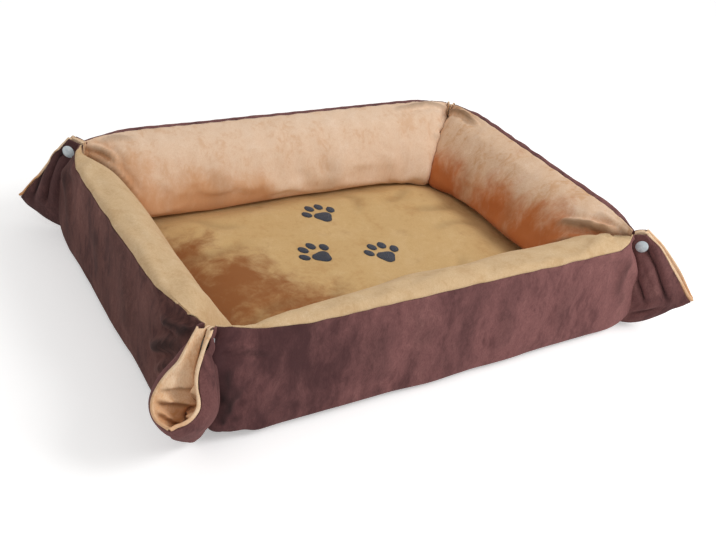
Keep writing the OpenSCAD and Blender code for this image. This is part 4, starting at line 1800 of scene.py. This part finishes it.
def stitch_tree() -> bpy.types.NodeTree:
    """The tree that lays short stitches along paths.

    Returns:
        A tree with the inputs Pitch, Stitch, Radius and Thread.
    """
    name = "Running stitch"
    if name in bpy.data.node_groups:
        return bpy.data.node_groups[name]
    n, given, curve = thread_tree(name, ("Pitch", "Stitch", "Radius"))
    even = n.add("GeometryNodeResampleCurve", {"Curve": curve, "Length": given["Pitch"]}, mode="LENGTH")
    spots = n.add("GeometryNodeCurveToPoints", {0: even.outputs[0]}, mode="EVALUATED").outputs
    bead = n.add("GeometryNodeMeshUVSphere", {"Segments": 8, "Rings": 6, "Radius": 0.5}).outputs["Mesh"]
    wide = n.math("MULTIPLY", given["Radius"], 2.0)
    size = n.add("ShaderNodeCombineXYZ", {"X": wide, "Y": wide, "Z": given["Stitch"]}).outputs[0]
    feeds = {"Points": spots["Points"], "Instance": bead, "Rotation": spots["Rotation"], "Scale": size}
    return end_tree(n, n.add("GeometryNodeInstanceOnPoints", feeds).outputs[0], given["Thread"])


def satin_tree() -> bpy.types.NodeTree:
    """The tree that turns each path into one arched satin thread.

    Returns:
        A tree with the inputs Radius, Rise and Thread.
    """
    name = "Satin stitch"
    if name in bpy.data.node_groups:
        return bpy.data.node_groups[name]
    n, given, curve = thread_tree(name, ("Radius", "Rise"))
    even = n.add("GeometryNodeResampleCurve", {"Curve": curve, "Count": 7}, mode="COUNT").outputs[0]
    along = n.add("GeometryNodeSplineParameter").outputs["Factor"]
    arch = n.math("POWER", n.math("SINE", n.math("MULTIPLY", along, math.pi)), 0.6)
    up = n.add("ShaderNodeCombineXYZ", {"Z": n.math("MULTIPLY", arch, given["Rise"])}).outputs[0]
    path = n.add("GeometryNodeSetPosition", {"Geometry": even, "Offset": up}).outputs[0]
    ring = n.add("GeometryNodeCurvePrimitiveCircle", {"Resolution": 6, "Radius": given["Radius"]}).outputs[0]
    feeds = {"Curve": path, "Profile Curve": ring, "Fill Caps": True}
    return end_tree(n, n.add("GeometryNodeCurveToMesh", feeds).outputs[0], given["Thread"])


@dataclass
class SeamStitching:
    """The stitches along one seam."""

    name: str
    body: str
    node: str
    paths: Sequence[Array]
    thread: Thread
    slot: str
    pitch: float = 4.2
    stitch: float = 3.6
    radius: float = 0.55

    def build(self) -> None:
        """Lays the stitches and dresses them."""
        obj = path_object(self.name, self.paths)
        sizes = {"Pitch": self.pitch * MM, "Stitch": self.stitch * MM, "Radius": self.radius * MM}
        run_tree(obj, stitch_tree(), {**sizes, "Thread": self.thread.material()})
        smooth(obj.data)
        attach(obj, self.body)
        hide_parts(self.node)
        LOG.info("%s: %d faces", self.name, len(obj.data.polygons))


@dataclass
class PawPrint:
    """A paw print in satin stitch: four toes and a heel pad, laid on the base pad.

    toes lists each toe's place across and along, as shares of the width, and its turn in degrees. The
    heel is round with three lobes. Its sizes are shares of the width, and heel_wide is how wide it is for
    its height. The threads are slant degrees off the print's own line, pitch apart, thread in radius and
    arched by rise.
    """

    name: str
    centre: tuple[float, float]
    angle: float
    pad: BasePad
    width: float = 46.0
    pitch: float = 0.62
    thread: float = 0.42
    rise: float = 0.75
    toes: tuple[tuple[float, float, float], ...] = (
        (-0.37, 0.12, 24), (-0.145, 0.36, 8), (0.145, 0.36, -8), (0.37, 0.12, -24),
    )
    toe_size: tuple[float, float] = (0.11, 0.145)
    heel_size: float = 0.225
    heel_lobes: float = 0.03
    heel_wide: float = 1.02
    heel_drop: float = 0.13
    slant: float = 12.0
    lift: float = 0.25

    def outlines(self) -> list[Array]:
        """The outlines of the toes and the heel, about the print's centre.

        Returns:
            Closed runs of points, in mm.
        """
        g = np.radians(np.arange(0, 360, 5))
        oval = np.stack([self.toe_size[0] * np.cos(g), self.toe_size[1] * np.sin(g), np.zeros_like(g)], -1)
        shapes = [turned(oval, turn) + (across, along, 0) for across, along, turn in self.toes]
        r = self.heel_size + self.heel_lobes * np.cos(3 * (g + math.pi / 2))
        across, along = self.heel_wide * r * np.cos(g), r * np.sin(g) - self.heel_drop
        shapes.append(np.stack([across, along, np.zeros_like(g)], -1))
        return [s * self.width for s in shapes]

    def threads(self, outline: Array) -> list[Array]:
        """Parallel threads that fill one outline.

        Args:
            outline: A closed run of points.

        Returns:
            One run of points for each thread.
        """
        ring = turned(np.vstack([outline, outline[:1]]), -self.slant)
        low, high = ring[:, 1].min(), ring[:, 1].max()
        runs = []
        for y in np.arange(low + self.pitch / 2, high, self.pitch):
            cut = []
            for a, b in zip(ring[:-1], ring[1:]):
                if (a[1] - y) * (b[1] - y) < 0:
                    cut.append(a[0] + (b[0] - a[0]) * (y - a[1]) / (b[1] - a[1]))
            if len(cut) >= 2:
                run = np.stack([np.linspace(min(cut), max(cut), 5), np.full(5, y), np.zeros(5)], -1)
                runs.append(turned(run, self.slant))
        return runs

    def build(self) -> None:
        """Stitches the print onto the pad."""
        runs = []
        for outline in self.outlines():
            for run in self.threads(outline):
                run = turned(run, self.angle) + (*self.centre, 0)
                run[:, 2] = [self.pad.height_at(p[0], p[1]) + self.lift for p in run]
                runs.append(run)
        obj = path_object(f"{self.name}_paw_print_embroidery", runs)
        sizes = {"Radius": self.thread * MM, "Rise": self.rise * MM}
        run_tree(obj, satin_tree(), {**sizes, "Thread": NAVY.material()})
        face_outwards(obj)
        smooth(obj.data)
        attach(obj, "base")
        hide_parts(f"{self.name}_paw_print")
        LOG.info("%s paw print: %d threads", self.name, len(runs))


@dataclass
class WallSeams:
    """The stitched seams of one wall: along its fold, and up both of its ends.

    foot and top are the heights between which an end is sewn, beside is how far past the wall's end that
    seam stands, and the last two are the numbers of points that the seams are drawn with.
    """

    wall: WallCushion
    foot: float = 28.0
    top: float = 106.0
    beside: float = 1.2
    fold_points: int = 60
    end_points: int = 20

    def line(self, along: Array, high: Array) -> Array:
        """Points above the fold seam's line, in the front wall's frame."""
        return np.stack([along, np.full(len(along), -self.wall.away), high], -1)

    def stitching(self) -> tuple[SeamStitching, SeamStitching]:
        """The two sets of stitches, turned to the wall's side.

        Returns:
            The fold's stitches and the ends' stitches.
        """
        name, turn = self.wall.side.label, self.wall.side.turn
        reach = self.wall.half - BED.end_inset
        fold = self.line(np.linspace(-reach, reach, self.fold_points), np.full(self.fold_points, BED.fold))
        column = self.line(np.zeros(self.end_points), np.linspace(self.foot, self.top, self.end_points))
        ends = [turned(column + (end * (reach + self.beside), 0, 0), turn) for end in (-1, 1)]
        return (
            SeamStitching(
                f"{name}_fold_stitches", "base", f"{name}_fold_seam",
                [turned(fold, turn)], BROWN_THREAD, "brown_thread",
            ),
            SeamStitching(
                f"{name}_wall_end_stitches", f"{name}_wall", f"{name}_wall_end_seams",
                ends, TAN_THREAD, "tan_thread",
            ),
        )

    def build(self) -> None:
        """Sews the wall's fold and its ends."""
        for stitches in self.stitching():
            stitches.build()


@dataclass
class PressStuds:
    """The four press studs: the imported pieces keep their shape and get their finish."""

    parts: tuple[str, ...] = ("cap", "stud", "socket", "back_cap")

    def dress(self, nodes: dict[str, bpy.types.Object]) -> None:
        """Puts the pearly finish on every piece of every stud.

        Args:
            nodes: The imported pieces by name.
        """
        for corner in Corner:
            for part in self.parts:
                obj = nodes[f"{corner.name.lower()}_snap_{part}"]
                for slot in obj.material_slots:
                    slot.material = PEARL.material()
        LOG.info("press studs: %d pieces dressed", 4 * len(self.parts))


# Studio


@dataclass
class Studio:
    """Camera, soft lamps, white surroundings and a pale floor."""

    azimuth: float = -35.9753
    elevation: float = 32.3695
    roll: float = 9.6774
    focal_px: float = 925.817
    distance: float = 1104.9717
    target: tuple[float, float, float] = (22.795, 7.1217, 0.0)
    frame_px: float = 716.0
    sensor: float = 36.0
    aim: tuple[float, float, float] = (0.0, 0.0, 0.05)
    floor_half: float = 6000.0
    floor_drop: float = 0.4

    def camera(self) -> None:
        """Places the camera where the photograph was taken."""
        a, e, r = (math.radians(v) for v in (self.azimuth, self.elevation, self.roll))
        back = Vector((math.sin(a) * math.cos(e), -math.cos(a) * math.cos(e), math.sin(e)))
        right = Vector((math.cos(a), math.sin(a), 0.0))
        up = back.cross(right)
        right, up = right * math.cos(r) + up * math.sin(r), up * math.cos(r) - right * math.sin(r)
        data = bpy.data.cameras.new("Camera")
        data.sensor_fit = "HORIZONTAL"
        data.sensor_width = self.sensor
        data.lens = self.focal_px * self.sensor / self.frame_px
        data.clip_start = 0.01
        cam = linked(bpy.data.objects.new("Camera", data))
        place = (Vector(self.target) + back * self.distance) * MM
        cam.matrix_world = Matrix.Translation(place) @ Matrix((right, up, back)).transposed().to_4x4()
        bpy.context.scene.camera = cam

    def lamp(self, name: str, place: tuple[float, float, float], size: float, power: float) -> None:
        """Adds a soft square lamp that faces the bed.

        Args:
            name: The lamp's name.
            place: Where it stands, in metres.
            size: Its width, in metres.
            power: Its power, in watts.
        """
        data = bpy.data.lights.new(name, "AREA")
        data.size = size
        data.energy = power
        lamp = linked(bpy.data.objects.new(name, data))
        lamp.location = place
        lamp.rotation_euler = (Vector(self.aim) - Vector(place)).to_track_quat("-Z", "Y").to_euler()

    def world(self) -> None:
        """White surroundings: pure white to the camera and in reflections, softer as light."""
        world = bpy.data.worlds.new("Studio")
        bpy.context.scene.world = world
        world.use_nodes = True
        world.node_tree.nodes.clear()
        n = Nodes(world.node_tree)
        seen = n.add("ShaderNodeLightPath").outputs
        mirrored = n.math("MAXIMUM", seen["Is Glossy Ray"], seen["Is Transmission Ray"])
        feeds = {0: n.math("MAXIMUM", seen["Is Camera Ray"], mirrored)}
        looks = (((1.0, 0.985, 0.97, 1.0), 0.55), ((1.0, 1.0, 1.0, 1.0), 1.0))
        for slot, (colour, power) in enumerate(looks, 1):
            feeds[slot] = n.add("ShaderNodeBackground", {"Color": colour, "Strength": power}).outputs[0]
        n.add("ShaderNodeOutputWorld", {"Surface": n.add("ShaderNodeMixShader", feeds).outputs[0]})

    def floor(self) -> None:
        """A wide pale floor that keeps the bed's soft shadow."""
        corners = np.array([(-1, -1, 0), (1, -1, 0), (1, 1, 0), (-1, 1, 0)]) * self.floor_half
        obj = make_object("floor", corners - (0, 0, self.floor_drop), [(0, 1, 2, 3)])
        obj.data.materials.append(Paper("Pale floor").material())

    def build(self) -> None:
        """Sets up the whole studio."""
        scene = bpy.context.scene
        scene.view_settings.view_transform = "Standard"
        self.camera()
        self.world()
        self.floor()
        self.lamp("Key", (1.1, -1.2, 1.5), 0.9, 22.0)
        self.lamp("Fill", (-1.2, -0.3, 1.8), 1.4, 3.0)


# The bed


def wall_cushions() -> list[WallCushion]:
    """The four walls with the folds that each one shows.

    Returns:
        The walls, with the folds of each in the row frame.
    """
    front = folds(
        (
            ((-258, -199, 111), (-252, -204, 90), (-247, -207, 62), (-246, -207, 44), (-249, -206, 24)),
            4.2, 10.0,
        ),
        (((-248, -203, 112), (-232, -206, 104), (-214, -206, 96), (-202, -206, 92)), 2.6, 2.4),
        (
            ((-246, -207, 88), (-238, -209, 66), (-234, -209, 52), (-232, -208, 40), (-237, -208, 24)),
            2.8, 5.0,
        ),
        (((230, -203, 106), (227, -206, 84), (229, -207, 62), (238, -206, 44)), 6.0, 3.0),
        (((252, -176, 117), (238, -176, 113), (224, -177, 110), (208, -177, 110)), 3.2, 5.5),
        (((-98, -206, 96), (-88, -208, 60), (-82, -208, 26)), 16.0, 1.4),
        (((60, -206, 20), (66, -206, 52), (60, -205, 84)), 14.0, 1.2),
        (((150, -206, 24), (144, -206, 60), (156, -205, 90)), 14.0, 1.2),
        (((-110, -166, 112), (-60, -158, 112), (-10, -154, 113)), 9.0, 1.2),
    )
    back = folds(
        (((250, 178, 114), (222, 180, 113), (190, 178, 111), (160, 176, 108)), 4.0, 3.6),
        (((248, 174, 100), (230, 166, 98), (214, 154, 96)), 4.4, 6.0),
        (((246, 172, 84), (226, 150, 84), (206, 140, 92)), 4.6, 5.0),
        (((-250, 177, 115), (-236, 174, 110), (-224, 166, 104), (-216, 156, 92)), 3.6, 5.5),
        (((-250, 176, 106), (-232, 162, 98), (-218, 146, 84), (-206, 136, 68)), 4.6, 5.5),
        (((-236, 180, 117), (-218, 179, 116), (-196, 172, 111)), 4.5, 2.6),
        (((40, 130, 40), (46, 126, 64), (40, 134, 88)), 16.0, 1.3),
        (((-110, 130, 40), (-104, 126, 64), (-112, 134, 88)), 16.0, 1.3),
        (((-98, 206, 96), (-88, 208, 60), (-82, 208, 26)), 16.0, 1.4),
        (((90, 206, 20), (96, 206, 52), (90, 205, 84)), 14.0, 1.2),
    )
    left = folds(
        (((-262, -178, 113), (-276, -158, 108), (-281, -132, 99)), 4.4, 6.5),
        (((-264, -176, 104), (-281, -150, 84), (-283, -118, 60)), 6.0, 9.0),
        (((-266, -176, 92), (-282, -154, 68), (-284, -134, 44)), 5.0, 5.5),
        (((-268, -176, 74), (-283, -160, 48), (-283, -146, 26)), 5.5, 3.4),
        (((-272, 168, 96), (-282, 150, 74), (-284, 138, 48)), 9.0, 2.4),
        (((-283, 60, 84), (-284, 40, 58), (-284, 34, 30)), 15.0, 1.6),
        (((-283, -30, 88), (-284, -46, 58), (-284, -50, 28)), 15.0, 1.5),
        (((-250, 172, 118), (-246, 164, 116), (-240, 156, 110)), 3.5, 2.6),
    )
    right = folds(
        (((251, 172, 108), (251, 150, 111), (249, 124, 114), (246, 106, 114)), 3.6, 6.0),
        (((250, -172, 113), (243, -152, 108), (232, -128, 101), (220, -104, 92)), 4.6, 6.0),
        (((248, -170, 102), (234, -152, 94), (218, -128, 84), (208, -112, 72)), 4.6, 5.5),
        (((250, -174, 118), (250, -156, 117), (247, -132, 113)), 4.5, 2.6),
        (((205, -40, 40), (201, -36, 66), (212, -30, 92)), 16.0, 1.2),
        (((205, 50, 40), (201, 56, 66), (212, 60, 92)), 16.0, 1.2),
        (((283, 60, 84), (284, 40, 58), (284, 34, 30)), 15.0, 1.5),
    )
    return [
        WallCushion(
            Side.FRONT,
            low=WallEnd(
                swell=12.0, blunt=24.0, taper=120.0, rim=90.0, over=-9.5, high_swell=1.3,
                low_swell=0.9, foot=0.4, fade=0.14, shoulder=0.86,
            ),
            high=WallEnd(swell=20.0, rim=46.0),
            thin=(
                (-250, 0.3), (-206, 0.36), (-162, 0.44), (-106, 0.58), (-43, 0.88), (33, 0.93), (96, 1.08),
                (190, 1.0), (216, 0.85), (232, 0.3), (250, 0.2),
            ),
            creases=front,
        ),
        WallCushion(
            Side.BACK,
            rim_out=4.0,
            rim_up=97.5,
            low=WallEnd(taper=44.0),
            stout=((-250, 1.32), (-184, 1.3), (-168, 1.14), (-150, 1.04), (0, 1.0), (250, 1.0)),
            creases=back,
        ),
        WallCushion(
            Side.LEFT,
            low=WallEnd(swell=18.0, blunt=28.0),
            high=WallEnd(
                swell=20.0, rim=120.0, over=9.0, high_swell=1.0, low_swell=0.3, fade=0.1, shoulder=0.9,
            ),
            thin=((-180, 0.7), (-110, 0.85), (110, 0.85), (180, 0.85)),
            creases=left,
        ),
        WallCushion(
            Side.RIGHT,
            rim_out=2.6,
            rim_up=97.3,
            high=WallEnd(taper=44.0),
            stout=((-250, 1.0), (84, 1.0), (96, 1.12), (110, 1.26), (180, 1.3)),
            creases=right,
        ),
    ]


def ear_halves() -> list[EarHalf]:
    """The eight ear halves, the near one of each corner first.

    Returns:
        Two halves for each corner.
    """
    shapes = {
        Corner.FRONT_LEFT: (FRONT_LEFT_NEAR, FRONT_LEFT_FAR),
        Corner.FRONT_RIGHT: (FRONT_RIGHT_NEAR, FRONT_RIGHT_FAR),
        Corner.BACK_RIGHT: (BACK_RIGHT_BOTH, BACK_RIGHT_BOTH),
        Corner.BACK_LEFT: (BACK_LEFT_NEAR, BACK_LEFT_FAR),
    }
    return [EarHalf(corner, bool(far), both[far]) for corner, both in shapes.items() for far in (0, 1)]


def paw_prints(pad: BasePad) -> list[PawPrint]:
    """The three paw prints, at the places that the part's source gives.

    Args:
        pad: The finished base pad.

    Returns:
        The prints, not yet stitched.
    """
    return [
        PawPrint("left", (-0.172 * BED.half_l, -0.028 * BED.half_d), 22, pad),
        PawPrint("right", (0.117 * BED.half_l, -0.156 * BED.half_d), 0, pad),
        PawPrint("back", (0.008 * BED.half_l, 0.4 * BED.half_d), 5, pad),
    ]


def main() -> None:
    """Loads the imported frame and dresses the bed."""
    logging.basicConfig(level=logging.INFO, format="%(message)s")
    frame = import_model()
    Studio().build()
    pad = BasePad()
    pad.build()
    for wall in wall_cushions():
        wall.build()
    for ear in ear_halves():
        ear.build()
    for print_ in paw_prints(pad):
        print_.build()
    for side in Side:
        WallSeams(WallCushion(side)).build()
    PressStuds().dress(frame["nodes"])


if __name__ == "__main__":
    main()
